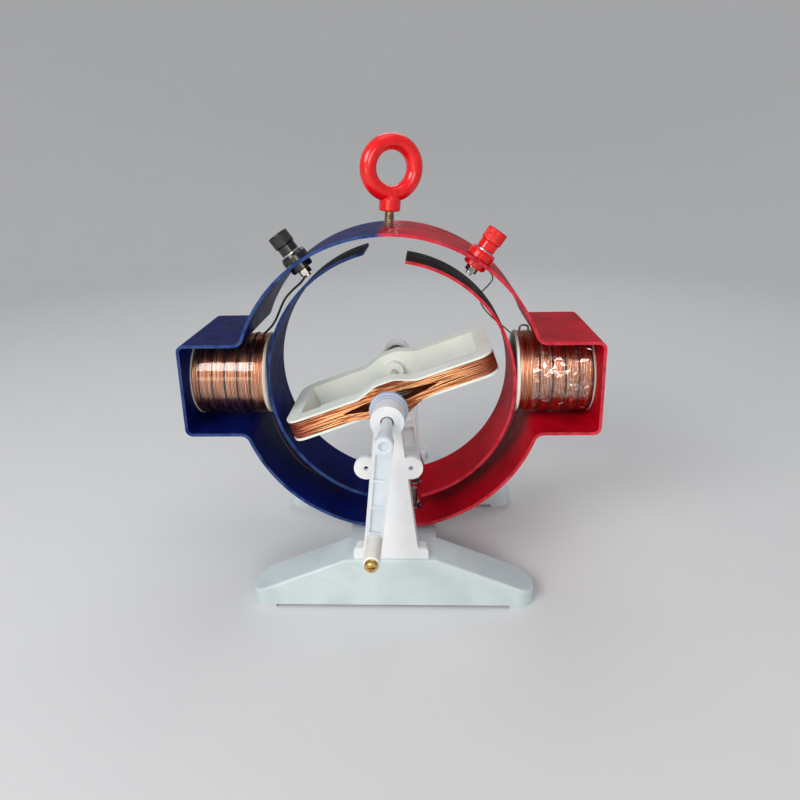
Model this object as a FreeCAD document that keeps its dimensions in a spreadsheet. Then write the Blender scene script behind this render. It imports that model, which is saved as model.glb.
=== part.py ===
import FreeCAD, Part
import math
import os
from types import SimpleNamespace

import Sketcher
from FreeCAD import Placement, Rotation, Vector

# Demonstration electric motor: a steel band bent into a ring with two coil boxes, two field
# coils with curved pole shoes, and a wound armature turned by a hand crank.
# Millimetres and degrees. X runs from the left pole to the right one, Y from the crank to the
# commutator, Z up. The origin is the middle of the base's underside.

DOCUMENT = FreeCAD.newDocument("demonstration_motor")

# ---------------------------------------------------------------- driving dimensions

DIMENSIONS = [
    # ring and coil boxes, one bent band
    ("ring_radius", 100.0, "outer radius of the bent band"),
    ("band_thickness", 2.0, "steel band"),
    ("band_width", 77.0, "band, measured along the shaft"),
    ("ring_flat", 2.0, "how far the ring is flattened where it is bolted down"),
    ("box_reach", 135.5, "shaft plane to the outer wall of a coil box"),
    ("box_half_height", 31.4, "half the outer height of a coil box"),
    ("box_bend", 5.0, "outer bend of a box corner"),
    ("box_root_bend", 6.0, "bend where the ring turns into a box"),
    # base moulding
    ("base_height", 35.0, "underside of the feet to the platform"),
    ("base_length", 183.2, "over the rounded ends of a foot"),
    ("base_spread", 146.0, "front of the front foot to the back of the rear foot"),
    ("foot_depth", 26.2, "one foot, front to back"),
    ("foot_end_height", 9.6, "height at the tip of a foot"),
    ("foot_end_radius", 12.0, "plan rounding of a foot's tip"),
    ("platform_length", 57.2, "flat top of a foot and width of the spine"),
    ("base_wall", 2.5, "wall of the hollow moulding"),
    ("base_edge", 1.6, "rounding of the top edges"),
    ("pad_height", 2.0, "standing pads below the rest of the underside"),
    ("pad_start", 75.0, "middle to the inner end of a standing pad"),
    ("saddle_height", 2.4, "raised seat for the ring"),
    ("saddle_width", 40.0, "seat, left to right"),
    # uprights
    ("shaft_drop", 7.4, "ring's centre down to the shaft's axis"),
    ("upright_front", 71.0, "middle of the base to an upright's outer face"),
    ("upright_depth", 12.0, "outer face to the rim"),
    ("upright_web", 3.0, "plate of an upright"),
    ("upright_rim", 2.0, "rim and ribs of an upright"),
    ("upright_foot_half", 23.6, "half the foot plate of an upright"),
    ("upright_foot_height", 7.2, "height of its foot plate"),
    ("foot_corner", 2.4, "rounded corner of the foot plate"),
    ("foot_hollow", 2.6, "hollow corner between the foot plate and the upright"),
    ("foot_boss_radius", 3.4, "screw boss behind the foot plate"),
    ("foot_screw_inset", 4.6, "end of the foot plate to the screw in it"),
    ("upright_lower_half", 17.8, "half width just above the foot"),
    ("upright_upper_half", 7.6, "half width at the shaft's height"),
    ("head_radius", 10.2, "round head of an upright"),
    ("head_ring_radius", 6.6, "raised ring on an upright's face"),
    ("head_ring_height", 0.5, "height of that ring"),
    ("ear_offset", 13.6, "middle to an ear's hole"),
    ("ear_rise", 63.0, "platform to the ears"),
    ("ear_radius", 7.3, "ear"),
    ("ear_hole_radius", 1.5, "hole in an ear"),
    ("bush_radius", 4.0, "bearing bush, outside"),
    ("bush_recess", 1.5, "bush set back from the outer face"),
    # field coils and pole shoes
    ("shoe_face", 81.0, "shaft plane to a pole face"),
    ("shoe_thickness", 2.0, "pole shoe strip"),
    ("shoe_width", 43.0, "pole shoe, along the shaft"),
    ("left_shoe_radius", 87.2, "inner radius of the left pole shoe"),
    ("right_shoe_radius", 83.3, "inner radius of the right pole shoe"),
    ("right_shoe_drop", 3.6, "centre of the right shoe below the ring's centre"),
    ("left_shoe_up", 75.7, "left shoe, coil axis to its upper end"),
    ("left_shoe_down", 73.5, "left shoe, coil axis to its lower end"),
    ("right_shoe_up", 81.0, "right shoe, coil axis to its upper end"),
    ("right_shoe_down", 75.5, "right shoe, coil axis to its lower end"),
    ("core_radius", 10.0, "iron core of a field coil"),
    ("bobbin_wall", 1.6, "tube of a bobbin"),
    ("bobbin_flange", 1.5, "flange of a bobbin"),
    ("coil_flange_radius", 28.0, "bobbin flange"),
    ("flange_edge", 1.1, "bevel round a flange's outer edge"),
    ("coil_radius", 27.3, "field winding"),
    # rotor
    ("shaft_radius", 2.0, "steel shaft"),
    ("shaft_front", 98.0, "shaft's end inside the crank hub"),
    ("shaft_back", 75.5, "shaft's end behind the rear upright"),
    ("rotor_tilt", 19.7, "armature from level, right end up"),
    ("frame_length", 145.0, "armature former"),
    ("frame_width", 69.0, "armature former along the shaft"),
    ("frame_half_height", 7.5, "mid plane to a flange's outer face"),
    ("frame_flange", 1.5, "flange of the former"),
    ("frame_wall", 2.0, "wall of the former"),
    ("frame_overhang", 8.0, "flange beyond the wall"),
    ("frame_corner", 10.0, "rounded corner of a flange"),
    ("hump_rise", 5.0, "flange raised over the shaft"),
    ("hump_foot", 20.0, "half length of the hump at its foot"),
    ("hump_top", 6.0, "half length of the hump's top"),
    ("hump_round", 14.0, "rounding of the hump's bends"),
    ("sleeve_radius", 6.9, "shaft sleeve in the former"),
    ("sleeve_length", 5.0, "sleeve's length inside the pocket"),
    ("winding_shy", 0.6, "winding inside the flange's edge"),
    ("split_half_length", 34.0, "half the gap between the two bundles of wire"),
    ("split_half_height", 3.4, "half the height of that gap at the shaft"),
    ("pulley_radius", 11.2, "front rim of the drive pulley"),
    ("pulley_back_radius", 12.1, "back rim of the drive pulley"),
    ("commutator_radius", 8.0, "commutator"),
    ("commutator_start", 40.0, "middle to the near end of the commutator"),
    ("commutator_length", 14.5, "commutator along the shaft"),
    ("segment_thickness", 1.5, "copper segment"),
    ("segment_angle", 168.0, "arc of one segment"),
    ("commutator_lip", 1.2, "lip of the hub at either end of the segments"),
    ("brush_gap", 0.3, "leaf brush off the commutator"),
    ("leaf_thickness", 0.5, "leaf brush"),
    # crank
    ("crank_radius", 59.5, "shaft's axis to the grip's axis"),
    ("crank_angle", 6.7, "crank from straight down, to the left"),
    ("hub_radius", 4.9, "crank hub at its outer end"),
    ("hub_root_radius", 3.2, "crank hub at the upright"),
    ("hub_gap", 0.6, "crank hub off the bush"),
    ("hub_end", 103.4, "middle to the hub's end face"),
    ("hub_lip", 0.8, "hub's end face off the arm's face"),
    ("hub_dimple_radius", 2.8, "hollow in the hub's end face"),
    ("arm_head_half", 5.4, "half width of the crank arm at the hub"),
    ("arm_foot_half", 4.6, "half width of the crank arm at the grip"),
    ("arm_depth", 6.0, "crank arm, along the shaft"),
    ("arm_wall", 1.3, "rims and ribs of the arm"),
    ("arm_recess", 1.5, "depth of the panels in the arm"),
    ("grip_radius", 4.6, "turning grip"),
    ("grip_length", 21.0, "turning grip, along the shaft"),
    ("grip_screw_radius", 2.0, "shank of the grip's screw"),
    ("grip_screw_head", 3.8, "head of the grip's screw"),
    # binding posts
    ("post_angle", 35.0, "binding post from straight up"),
    ("post_forward", 22.0, "binding posts in front of the ring's middle"),
    ("post_hole_radius", 4.0, "hole for a post in the band"),
    ("post_stud_radius", 2.0, "post stud"),
    ("collar_radius", 8.6, "insulating collar of a post"),
    ("collar_height", 5.5, "collar on top of the band"),
    ("cap_radius", 6.3, "gripped part of a cap"),
    ("cap_neck_radius", 5.7, "smooth part of a cap"),
    ("cap_height", 13.2, "cap"),
    # eye bolt
    ("eye_ring_radius", 16.3, "eye, centre line"),
    ("eye_bar_radius", 5.35, "eye, bar"),
    ("eye_turn", 27.0, "eye turned about its stud"),
    ("eye_lean", 4.2, "stud leaning to the right"),
    ("eye_stud_radius", 3.0, "stud of the eye bolt"),
    ("eye_stud_length", 10.0, "stud showing above the band"),
    ("eye_collar_radius", 7.0, "collar below the eye"),
    ("eye_collar_height", 7.5, "collar below the eye, along the stud"),
    ("eye_sink", 2.1, "how deep the ring sits in its collar"),
    ("eye_nut_height", 3.2, "thin nut below the band"),
    # fasteners and fits
    ("bolt_offset", 14.0, "ring bolts from the middle, left and right"),
    ("bolt_spread", 17.0, "ring bolts from the middle, front and back"),
    ("bolt_radius", 2.0, "M4 shank"),
    ("bolt_head_flats", 7.0, "M4 hexagon across flats"),
    ("bolt_rise", 54.0, "tip of a ring bolt above the table"),
    ("recess_reach", 1.9, "cross recess in a screw head, half across"),
    ("recess_width", 0.9, "cross recess, one slot"),
    ("recess_depth", 1.2, "cross recess, depth"),
    ("hole_allowance", 0.2, "hole larger than its bolt, on the radius"),
    ("running_clearance", 0.05, "turning fit, on the radius"),
    ("seat_clearance", 0.02, "fixed round fit, on the radius"),
    ("face_gap", 0.3, "between faces that turn past each other"),
    # leads
    ("cord_radius", 0.75, "insulated lead of the left post"),
    ("wire_radius", 0.5, "enamelled leads"),
]


class Size:
    """A size that keeps its number and the sheet formula that the number comes from."""

    def __init__(self, value, formula):
        self.value = float(value)
        self.formula = formula

    def __add__(self, other):
        other = size_of(other)
        return Size(self.value + other.value, f"({self.formula} + {other.formula})")

    def __sub__(self, other):
        other = size_of(other)
        return Size(self.value - other.value, f"({self.formula} - {other.formula})")

    def __mul__(self, other):
        other = size_of(other)
        return Size(self.value * other.value, f"({self.formula} * {other.formula})")

    def __truediv__(self, other):
        other = size_of(other)
        return Size(self.value / other.value, f"({self.formula} / {other.formula})")

    def __radd__(self, other):
        return size_of(other) + self

    def __rsub__(self, other):
        return size_of(other) - self

    def __rmul__(self, other):
        return size_of(other) * self

    def __neg__(self):
        return Size(-self.value, f"(-1 * {self.formula})")


def size_of(number):
    if isinstance(number, Size):
        return number
    return Size(number, f"({float(number)!r})")


def sine(angle):
    return Size(math.sin(math.radians(angle.value)), f"sin({angle.formula})")


def cosine(angle):
    return Size(math.cos(math.radians(angle.value)), f"cos({angle.formula})")


def write_sheet():
    sheet = DOCUMENT.addObject("Spreadsheet::Sheet", "Sizes")
    named = SimpleNamespace()
    for row, (name, value, note) in enumerate(DIMENSIONS, 1):
        sheet.set(f"A{row}", name)
        sheet.set(f"B{row}", str(value))
        sheet.set(f"C{row}", note)
        sheet.setAlias(f"B{row}", name)
        setattr(named, name, Size(value, f"Sizes.{name}"))
    DOCUMENT.recompute()
    return named


S = write_sheet()

# places that several sub-parts share
PLATFORM = S.base_height
RING_BOTTOM = PLATFORM + S.saddle_height
RING_CENTRE = RING_BOTTOM - S.ring_flat + S.ring_radius
SHAFT = RING_CENTRE - S.shaft_drop
BAND_INSIDE = S.ring_radius - S.band_thickness
BOX_INSIDE = S.box_reach - S.band_thickness
SHOE_BACK = S.shoe_face + S.shoe_thickness
UPRIGHT_INSIDE = S.upright_front - S.upright_depth
FOOT_MIDDLE = (S.base_spread - S.foot_depth) / 2

# ---------------------------------------------------------------- modelling helpers

PARTS = {}


def bind(thing, prop, size):
    thing.setExpression(prop, size_of(size).formula)


def keep(thing, label):
    """Names a finished sub-part, which is also the name of its file."""
    thing.Label = label
    PARTS[label] = thing
    return thing


def new_body(name):
    return DOCUMENT.addObject("PartDesign::Body", name)


def place(thing, x=0, y=0, z=0, axis=None, angle=None):
    for letter, size in (("x", x), ("y", y), ("z", z)):
        bind(thing, f"Placement.Base.{letter}", size)
    if axis is not None:
        thing.Placement = Placement(thing.Placement.Base, Rotation(Vector(*axis), size_of(angle).value))
        bind(thing, "Placement.Rotation.Angle", angle)
    return thing


def plane_of(body, role):
    return next(item for item in body.Origin.OriginFeatures if item.Role == role)


def new_sketch(body, role, offset=0):
    """A sketch on one of the body's own planes, moved along that plane's normal."""
    sketch = body.newObject("Sketcher::SketchObject", "Sketch")
    sketch.AttachmentSupport = [(plane_of(body, role), "")]
    sketch.MapMode = "FlatFace"
    bind(sketch, "AttachmentOffset.Base.z", offset)
    return sketch


def pin(sketch, geometry, vertex, x, y):
    """Fixes a point of the sketch by its two coordinates."""
    origin = -1
    upright_axis = -2
    if size_of(x).value == 0:
        sketch.addConstraint(Sketcher.Constraint("PointOnObject", geometry, vertex, upright_axis))
    else:
        rule = Sketcher.Constraint("DistanceX", origin, 1, geometry, vertex, size_of(x).value)
        bind(sketch, f"Constraints[{sketch.addConstraint(rule)}]", x)
    if size_of(y).value == 0:
        sketch.addConstraint(Sketcher.Constraint("PointOnObject", geometry, vertex, origin))
    else:
        rule = Sketcher.Constraint("DistanceY", origin, 1, geometry, vertex, size_of(y).value)
        bind(sketch, f"Constraints[{sketch.addConstraint(rule)}]", y)


def draw_outline(sketch, corners):
    """A closed outline of straight lines through the given corners."""
    first = sketch.GeometryCount
    spots = [Vector(size_of(x).value, size_of(y).value, 0) for x, y in corners]
    count = len(spots)
    for index in range(count):
        sketch.addGeometry(Part.LineSegment(spots[index], spots[(index + 1) % count]), False)
    for index in range(count):
        following = first + (index + 1) % count
        sketch.addConstraint(Sketcher.Constraint("Coincident", first + index, 2, following, 1))
    for index, (x, y) in enumerate(corners):
        pin(sketch, first + index, 1, x, y)


def draw_rectangle(sketch, left, right, low, high):
    draw_outline(sketch, [(left, low), (right, low), (right, high), (left, high)])


def draw_circle(sketch, x, y, radius):
    number = size_of(radius).value
    centre = Vector(size_of(x).value, size_of(y).value, 0)
    index = sketch.addGeometry(Part.Circle(centre, Vector(0, 0, 1), number), False)
    pin(sketch, index, 3, x, y)
    rule = sketch.addConstraint(Sketcher.Constraint("Radius", index, number))
    bind(sketch, f"Constraints[{rule}]", radius)


def draw_hexagon(sketch, x, y, flats):
    """A regular hexagon with two flats level, given across its flats."""
    reach = size_of(flats) / math.sqrt(3)
    corners = []
    for step in range(6):
        turn = math.radians(60 * step)
        corners.append((x + reach * round(math.cos(turn), 9), y + reach * round(math.sin(turn), 9)))
    draw_outline(sketch, corners)


def pad(body, sketch, length, middle=False, backwards=False):
    feature = body.newObject("PartDesign::Pad", "Pad")
    feature.Profile = sketch
    feature.Midplane = middle
    feature.Reversed = backwards
    bind(feature, "Length", length)
    return feature


def pocket(body, sketch, length, middle=False, backwards=False):
    DOCUMENT.recompute()
    before = body.Shape.Volume
    feature = body.newObject("PartDesign::Pocket", "Pocket")
    feature.Profile = sketch
    feature.Midplane = middle
    feature.Reversed = backwards
    bind(feature, "Length", length)
    DOCUMENT.recompute()
    if body.Shape.Volume > before - 1e-6:
        raise RuntimeError(f"{body.Name}: {feature.Name} cuts nothing")
    return feature


def spin(body, sketch, role="Z_Axis", angle=360, middle=False):
    feature = body.newObject("PartDesign::Revolution", "Revolution")
    feature.Profile = sketch
    feature.ReferenceAxis = (plane_of(body, role), [""])
    feature.Midplane = middle
    bind(feature, "Angle", angle)
    return feature


def edges_where(shape, test):
    """Names of the straight edges whose two ends pass a test."""
    names = []
    for number, edge in enumerate(shape.Edges, 1):
        if len(edge.Vertexes) == 2 and test(edge.Vertexes[0].Point, edge.Vertexes[1].Point):
            names.append(f"Edge{number}")
    return names


def round_edges(body, test, radius, kind="Fillet"):
    DOCUMENT.recompute()
    base = body.Tip
    names = edges_where(base.Shape, test)
    if not names:
        raise RuntimeError(f"{body.Name}: no edge to round")
    feature = body.newObject(f"PartDesign::{kind}", kind)
    feature.Base = (base, names)
    bind(feature, "Radius" if kind == "Fillet" else "Size", radius)
    DOCUMENT.recompute()
    return feature


def near(number, size):
    return abs(number - size_of(size).value) < 0.01


def turned(label, half_outline):
    """A round piece about its own Z axis, from (radius, height) corners."""
    body = new_body(label)
    sketch = new_sketch(body, "XZ_Plane")
    draw_outline(sketch, half_outline)
    spin(body, sketch)
    return keep(body, label)


def cylinder(radius, height, x=0, y=0, z=0, axis=None, angle=0):
    tool = DOCUMENT.addObject("Part::Cylinder", "Tool")
    bind(tool, "Radius", radius)
    bind(tool, "Height", height)
    return place(tool, x, y, z, axis, angle)


def cut(base, tools, label):
    """Takes several tools out of one piece."""
    joined = tools[0]
    if len(tools) > 1:
        joined = DOCUMENT.addObject("Part::MultiFuse", "Tools")
        joined.Shapes = tools
    result = DOCUMENT.addObject("Part::Cut", label)
    result.Base = base
    result.Tool = joined
    return keep(result, label)


# ---------------------------------------------------------------- base and uprights


def build_base():
    """H-shaped hollow moulding: two feet with sloping arms, joined by a spine."""
    body = new_body("base")
    half = S.base_length / 2
    flat = S.platform_length / 2
    wall = S.base_wall
    slope = (S.base_height - S.foot_end_height) / (half - flat)
    back = FOOT_MIDDLE
    for side in (back, -back):
        sketch = new_sketch(body, "XZ_Plane", side)
        draw_outline(sketch, [
            (-half, 0), (half, 0), (half, S.foot_end_height),
            (flat, S.base_height), (-flat, S.base_height), (-half, S.foot_end_height),
        ])
        pad(body, sketch, S.foot_depth, middle=True)
    sketch = new_sketch(body, "XZ_Plane")
    draw_rectangle(sketch, -flat, flat, 0, S.base_height)
    pad(body, sketch, S.base_spread - S.foot_depth, middle=True)

    # hollow feet, in cells that leave cross ribs between them
    def ceiling(x):
        return S.base_height - wall - slope * (x - flat)

    inner = half - wall
    cells = []
    rib = wall
    first = flat + rib / 2
    second = (first + inner) / 2
    for start, end in ((first, second - rib / 2), (second + rib / 2, inner)):
        for way in (1, -1):
            cells.append([(way * start, 0), (way * end, 0), (way * end, ceiling(end)), (way * start, ceiling(start))])
    reach = flat - rib / 2
    cells.append([(-reach, 0), (reach, 0), (reach, S.base_height - wall), (-reach, S.base_height - wall)])
    for side in (back, -back):
        sketch = new_sketch(body, "XZ_Plane", side)
        for cell in cells:
            draw_outline(sketch, cell)
        pocket(body, sketch, S.foot_depth - 2 * wall, middle=True)

    def inner_tip(a, b):
        return abs(a.z - b.z) > 1 and near(abs(a.x), inner) and near(abs(b.x), inner)

    round_edges(body, inner_tip, S.foot_end_radius - wall)

    def foot_tip(a, b):
        return abs(a.z - b.z) > 1 and near(abs(a.x), half) and near(abs(b.x), half)

    round_edges(body, foot_tip, S.foot_end_radius)

    def top_rim(a, b):
        outer = near(abs(a.y), S.base_spread / 2) and near(abs(b.y), S.base_spread / 2)
        return outer and min(a.z, b.z) > S.foot_end_height.value

    round_edges(body, top_rim, S.base_edge)

    # the underside stands on the four tips only
    sketch = new_sketch(body, "XZ_Plane")
    draw_rectangle(sketch, -S.pad_start, S.pad_start, 0, S.pad_height)
    pocket(body, sketch, S.base_spread + 2, middle=True)

    sketch = new_sketch(body, "XZ_Plane")
    draw_rectangle(sketch, -(flat - wall), flat - wall, 0, S.base_height - wall)
    pocket(body, sketch, S.base_spread - 2 * S.foot_depth - wall, middle=True)

    # raised seat for the ring, and holes for the bolts and the uprights' screws
    sketch = new_sketch(body, "XY_Plane", S.base_height)
    seat_length = S.band_width - 10
    draw_rectangle(sketch, -S.saddle_width / 2, S.saddle_width / 2, -seat_length / 2, seat_length / 2)
    pad(body, sketch, S.saddle_height)
    sketch = new_sketch(body, "XY_Plane", S.base_height + S.saddle_height)
    for x, y in bolt_spots():
        draw_circle(sketch, x, y, S.bolt_radius + S.hole_allowance)
    for x, y in upright_screw_spots():
        draw_circle(sketch, x, y, UPRIGHT_SCREW_RADIUS + S.hole_allowance)
    pocket(body, sketch, wall + S.saddle_height + 1)
    keep(body, "base")


UPRIGHT_SCREW_RADIUS = size_of(1.5)


def bolt_spots():
    spots = []
    for x in (S.bolt_offset, -S.bolt_offset):
        for y in (S.bolt_spread, -S.bolt_spread):
            spots.append((x, y))
    return spots


def upright_screw_spots():
    across = S.upright_foot_half - S.foot_screw_inset
    along = S.upright_front - S.upright_depth / 2
    spots = []
    for x in (across, -across):
        for y in (along, -along):
            spots.append((x, y))
    return spots


def build_upright(label, turn):
    """A ribbed moulding: flat outside, rim and ribs inside. Local Y runs inwards from its face."""
    body = new_body(label)
    rise = SHAFT - PLATFORM
    foot = S.upright_foot_height
    low = S.upright_lower_half
    high = S.upright_upper_half
    depth = S.upright_depth

    sketch = new_sketch(body, "XZ_Plane")
    draw_outline(sketch, [(-low, 0), (low, 0), (high, rise), (-high, rise)])
    pad(body, sketch, depth, backwards=True)
    sketch = new_sketch(body, "XZ_Plane")
    draw_circle(sketch, 0, rise, S.head_radius)
    pad(body, sketch, depth, backwards=True)
    sketch = new_sketch(body, "XZ_Plane")
    draw_rectangle(sketch, -S.upright_foot_half, S.upright_foot_half, 0, foot)
    pad(body, sketch, S.upright_web, backwards=True)
    for way in (1, -1):
        sketch = new_sketch(body, "XZ_Plane")
        draw_circle(sketch, way * S.ear_offset, S.ear_rise, S.ear_radius)
        pad(body, sketch, S.upright_web, backwards=True)

    def through_plate(a, b):
        return near(abs(a.y - b.y), S.upright_web) and near(a.x, b.x) and near(a.z, foot) and near(b.z, foot)

    def foot_corner(a, b):
        return through_plate(a, b) and near(abs(a.x), S.upright_foot_half)

    def hollow_corner(a, b):
        return through_plate(a, b) and abs(a.x) < low.value

    round_edges(body, foot_corner, S.foot_corner)
    round_edges(body, hollow_corner, S.foot_hollow)
    across = S.upright_foot_half - S.foot_screw_inset
    for way in (1, -1):
        sketch = new_sketch(body, "XY_Plane")
        draw_circle(sketch, way * across, depth / 2, S.foot_boss_radius)
        pad(body, sketch, foot - 0.6)

    # cells between the ribs, cut from the inside down to the plate
    def half_width(z):
        return low - (low - high) * (z / rise) - S.upright_rim

    bottom = foot + S.upright_rim
    top = rise - S.head_radius - S.upright_rim
    step = (top - bottom) / 3
    sketch = new_sketch(body, "XZ_Plane", -depth)
    for index in range(3):
        floor = bottom + step * index
        roof = floor + step - S.upright_rim
        draw_outline(sketch, [
            (-half_width(floor), floor), (half_width(floor), floor),
            (half_width(roof), roof), (-half_width(roof), roof),
        ])
    pocket(body, sketch, depth - S.upright_web, backwards=True)

    # the head is a ring round the bearing boss
    sketch = new_sketch(body, "XZ_Plane", -depth)
    draw_circle(sketch, 0, rise, S.head_radius - S.upright_rim)
    draw_circle(sketch, 0, rise, S.bush_radius + S.upright_rim)
    pocket(body, sketch, depth - S.upright_web, backwards=True)
    sketch = new_sketch(body, "XZ_Plane")
    draw_circle(sketch, 0, rise, S.head_ring_radius)
    pad(body, sketch, S.head_ring_height)
    sketch = new_sketch(body, "XZ_Plane", 1)
    draw_circle(sketch, 0, rise, S.bush_radius + S.seat_clearance)
    for way in (1, -1):
        draw_circle(sketch, way * S.ear_offset, S.ear_rise, S.ear_hole_radius)
    pocket(body, sketch, depth + 2)

    # pilot holes for the screws that come up through the platform
    sketch = new_sketch(body, "XY_Plane")
    for way in (1, -1):
        draw_circle(sketch, way * across, depth / 2, UPRIGHT_SCREW_RADIUS + S.seat_clearance)
    pocket(body, sketch, 5.0, backwards=True)

    keep(body, label)
    facing = -1 if turn == 0 else 1
    place(body, 0, facing * S.upright_front, PLATFORM, (0, 0, 1), turn)


def build_bushes():
    length = S.upright_depth - S.bush_recess
    bore = S.shaft_radius + S.running_clearance
    for label, facing in (("front_bearing_bush", -1), ("rear_bearing_bush", 1)):
        body = turned(label, [(bore, 0), (S.bush_radius, 0), (S.bush_radius, length), (bore, length)])
        inner = UPRIGHT_INSIDE if facing == 1 else -UPRIGHT_INSIDE
        angle = -90 if facing == 1 else 90
        place(body, 0, inner, SHAFT, (1, 0, 0), angle)


def build_upright_screws():
    """Four self-tapping screws, heads inside the hollow feet."""
    body = new_body("upright_screws")
    ceiling = S.base_height - S.base_wall
    head = 2.0
    sketch = new_sketch(body, "XY_Plane", ceiling)
    for x, y in upright_screw_spots():
        draw_circle(sketch, x, y, 2 * UPRIGHT_SCREW_RADIUS)
    first = pad(body, sketch, head, backwards=True)
    first.AllowMultiFace = True
    body.AllowCompound = True
    sketch = new_sketch(body, "XY_Plane", ceiling - 1)
    for x, y in upright_screw_spots():
        draw_circle(sketch, x, y, UPRIGHT_SCREW_RADIUS)
    pad(body, sketch, S.base_wall + 5.5)
    keep(body, "upright_screws")


# ---------------------------------------------------------------- ring, coils and pole shoes


def build_band():
    """One steel band: a ring with two square boxes, flat where it is bolted down."""
    body = new_body("ring_blank")
    sketch = new_sketch(body, "XZ_Plane")
    draw_circle(sketch, 0, 0, S.ring_radius)
    pad(body, sketch, S.band_width, middle=True)
    sketch = new_sketch(body, "XZ_Plane")
    draw_rectangle(sketch, -S.box_reach, S.box_reach, -S.box_half_height, S.box_half_height)
    pad(body, sketch, S.band_width, middle=True)
    sketch = new_sketch(body, "XZ_Plane")
    low = -(S.ring_radius + 5)
    flat = S.ring_flat - S.ring_radius
    draw_rectangle(sketch, -S.ring_radius / 2, S.ring_radius / 2, low, flat)
    pocket(body, sketch, S.band_width + 2, middle=True)

    def along_shaft(a, b):
        return abs(a.y - b.y) > 10 and near(a.x, b.x) and near(a.z, b.z)

    def box_corner(a, b):
        return along_shaft(a, b) and near(abs(a.x), S.box_reach)

    def box_root(a, b):
        return along_shaft(a, b) and near(abs(a.z), S.box_half_height) and abs(a.x) < S.ring_radius.value

    round_edges(body, box_corner, S.box_bend)
    round_edges(body, box_root, S.box_root_bend)
    base = body.Tip
    ends = []
    for number, face in enumerate(base.Shape.Faces, 1):
        if near(abs(face.CenterOfMass.y), S.band_width / 2):
            ends.append(f"Face{number}")
    shell = body.newObject("PartDesign::Thickness", "Wall")
    shell.Base = (base, ends)
    shell.Reversed = True
    shell.Join = 1
    bind(shell, "Value", S.band_thickness)
    place(body, 0, 0, RING_CENTRE)

    tools = []
    for x, y in bolt_spots():
        radius = S.bolt_radius + S.hole_allowance
        tools.append(cylinder(radius, S.band_thickness + 4, x, y, RING_BOTTOM - 2))
    lean = S.eye_lean
    x = -6 * sine(lean)
    z = RING_CENTRE + S.ring_radius - 6 * cosine(lean)
    tools.append(cylinder(S.eye_stud_radius + S.seat_clearance, 12, x, 0, z, (0, 1, 0), lean))
    for way in (1, -1):
        angle = way * S.post_angle
        reach = BAND_INSIDE - 4
        x = reach * sine(angle)
        z = RING_CENTRE + reach * cosine(angle)
        tools.append(cylinder(S.post_hole_radius, 10, x, -S.post_forward, z, (0, 1, 0), angle))
        start = BOX_INSIDE - 2
        radius = CORE_SCREW_RADIUS + S.hole_allowance
        tools.append(cylinder(radius, 8, way * start, 0, RING_CENTRE, (0, 1, 0), way * 90))
        sink = DOCUMENT.addObject("Part::Cone", "Countersink")
        bind(sink, "Radius1", radius)
        bind(sink, "Radius2", radius + S.band_thickness)
        bind(sink, "Height", S.band_thickness)
        tools.append(place(sink, way * BOX_INSIDE, 0, RING_CENTRE, (0, 1, 0), way * 90))
    cut(body, tools, "yoke_band")


CORE_SCREW_RADIUS = size_of(2.5)


def build_pole_shoe(label, way, radius, drop, up, down):
    """A curved strip that carries the field close to the armature."""
    body = new_body(label)
    sketch = new_sketch(body, "XY_Plane")
    half = S.shoe_width / 2
    draw_rectangle(sketch, radius, radius + S.shoe_thickness, -half, half)
    spin(body, sketch, "Y_Axis", up + down, middle=True)

    centre_x = way * (S.shoe_face - radius)
    lean = (down - up) / 2
    angle = lean if way == 1 else 180 - lean
    keep(body, label)
    place(body, centre_x, 0, RING_CENTRE - drop, (0, 1, 0), angle)


def build_coils():
    """Core, bobbin and winding of each field coil, on the line of the two poles."""
    gap = S.face_gap / 3
    length = BOX_INSIDE - SHOE_BACK - gap
    tube = S.core_radius + S.bobbin_wall
    flange = S.bobbin_flange
    rim = S.coil_flange_radius
    edge = S.flange_edge
    for side, way in (("left", -1), ("right", 1)):
        start = way * (SHOE_BACK + gap / 2)
        lean = way * 90
        screw_hole = CORE_SCREW_RADIUS + S.seat_clearance
        core = turned(f"field_core_{side}", [
            (0, 0), (S.core_radius, 0), (S.core_radius, length), (screw_hole, length),
            (screw_hole, length - 14), (0, length - 14),
        ])
        bore = S.core_radius + S.seat_clearance
        bobbin = turned(f"field_bobbin_{side}", [
            (bore, 0), (rim - edge, 0), (rim, edge), (rim, flange), (tube, flange), (tube, length - flange),
            (rim, length - flange), (rim, length - edge), (rim - edge, length), (bore, length),
        ])
        inside = tube + S.seat_clearance
        first = flange + S.seat_clearance
        last = length - flange - S.seat_clearance
        winding = turned(f"field_winding_{side}", [
            (inside, first), (S.coil_radius, first), (S.coil_radius, last), (inside, last),
        ])
        for piece in (core, bobbin, winding):
            place(piece, start, 0, RING_CENTRE, (0, 1, 0), lean)


def cross_recess(body, face):
    """Sinks a cross into the flat end of a screw that stands on its own Z axis."""
    long = S.recess_reach
    short = S.recess_width / 2
    corner = [(short, long), (short, short), (long, short)]
    outline = corner + [(x, -y) for x, y in reversed(corner)]
    sketch = new_sketch(body, "XY_Plane", face)
    draw_outline(sketch, outline + [(-x, y) for x, y in reversed(outline)])
    pocket(body, sketch, S.recess_depth)


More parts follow.
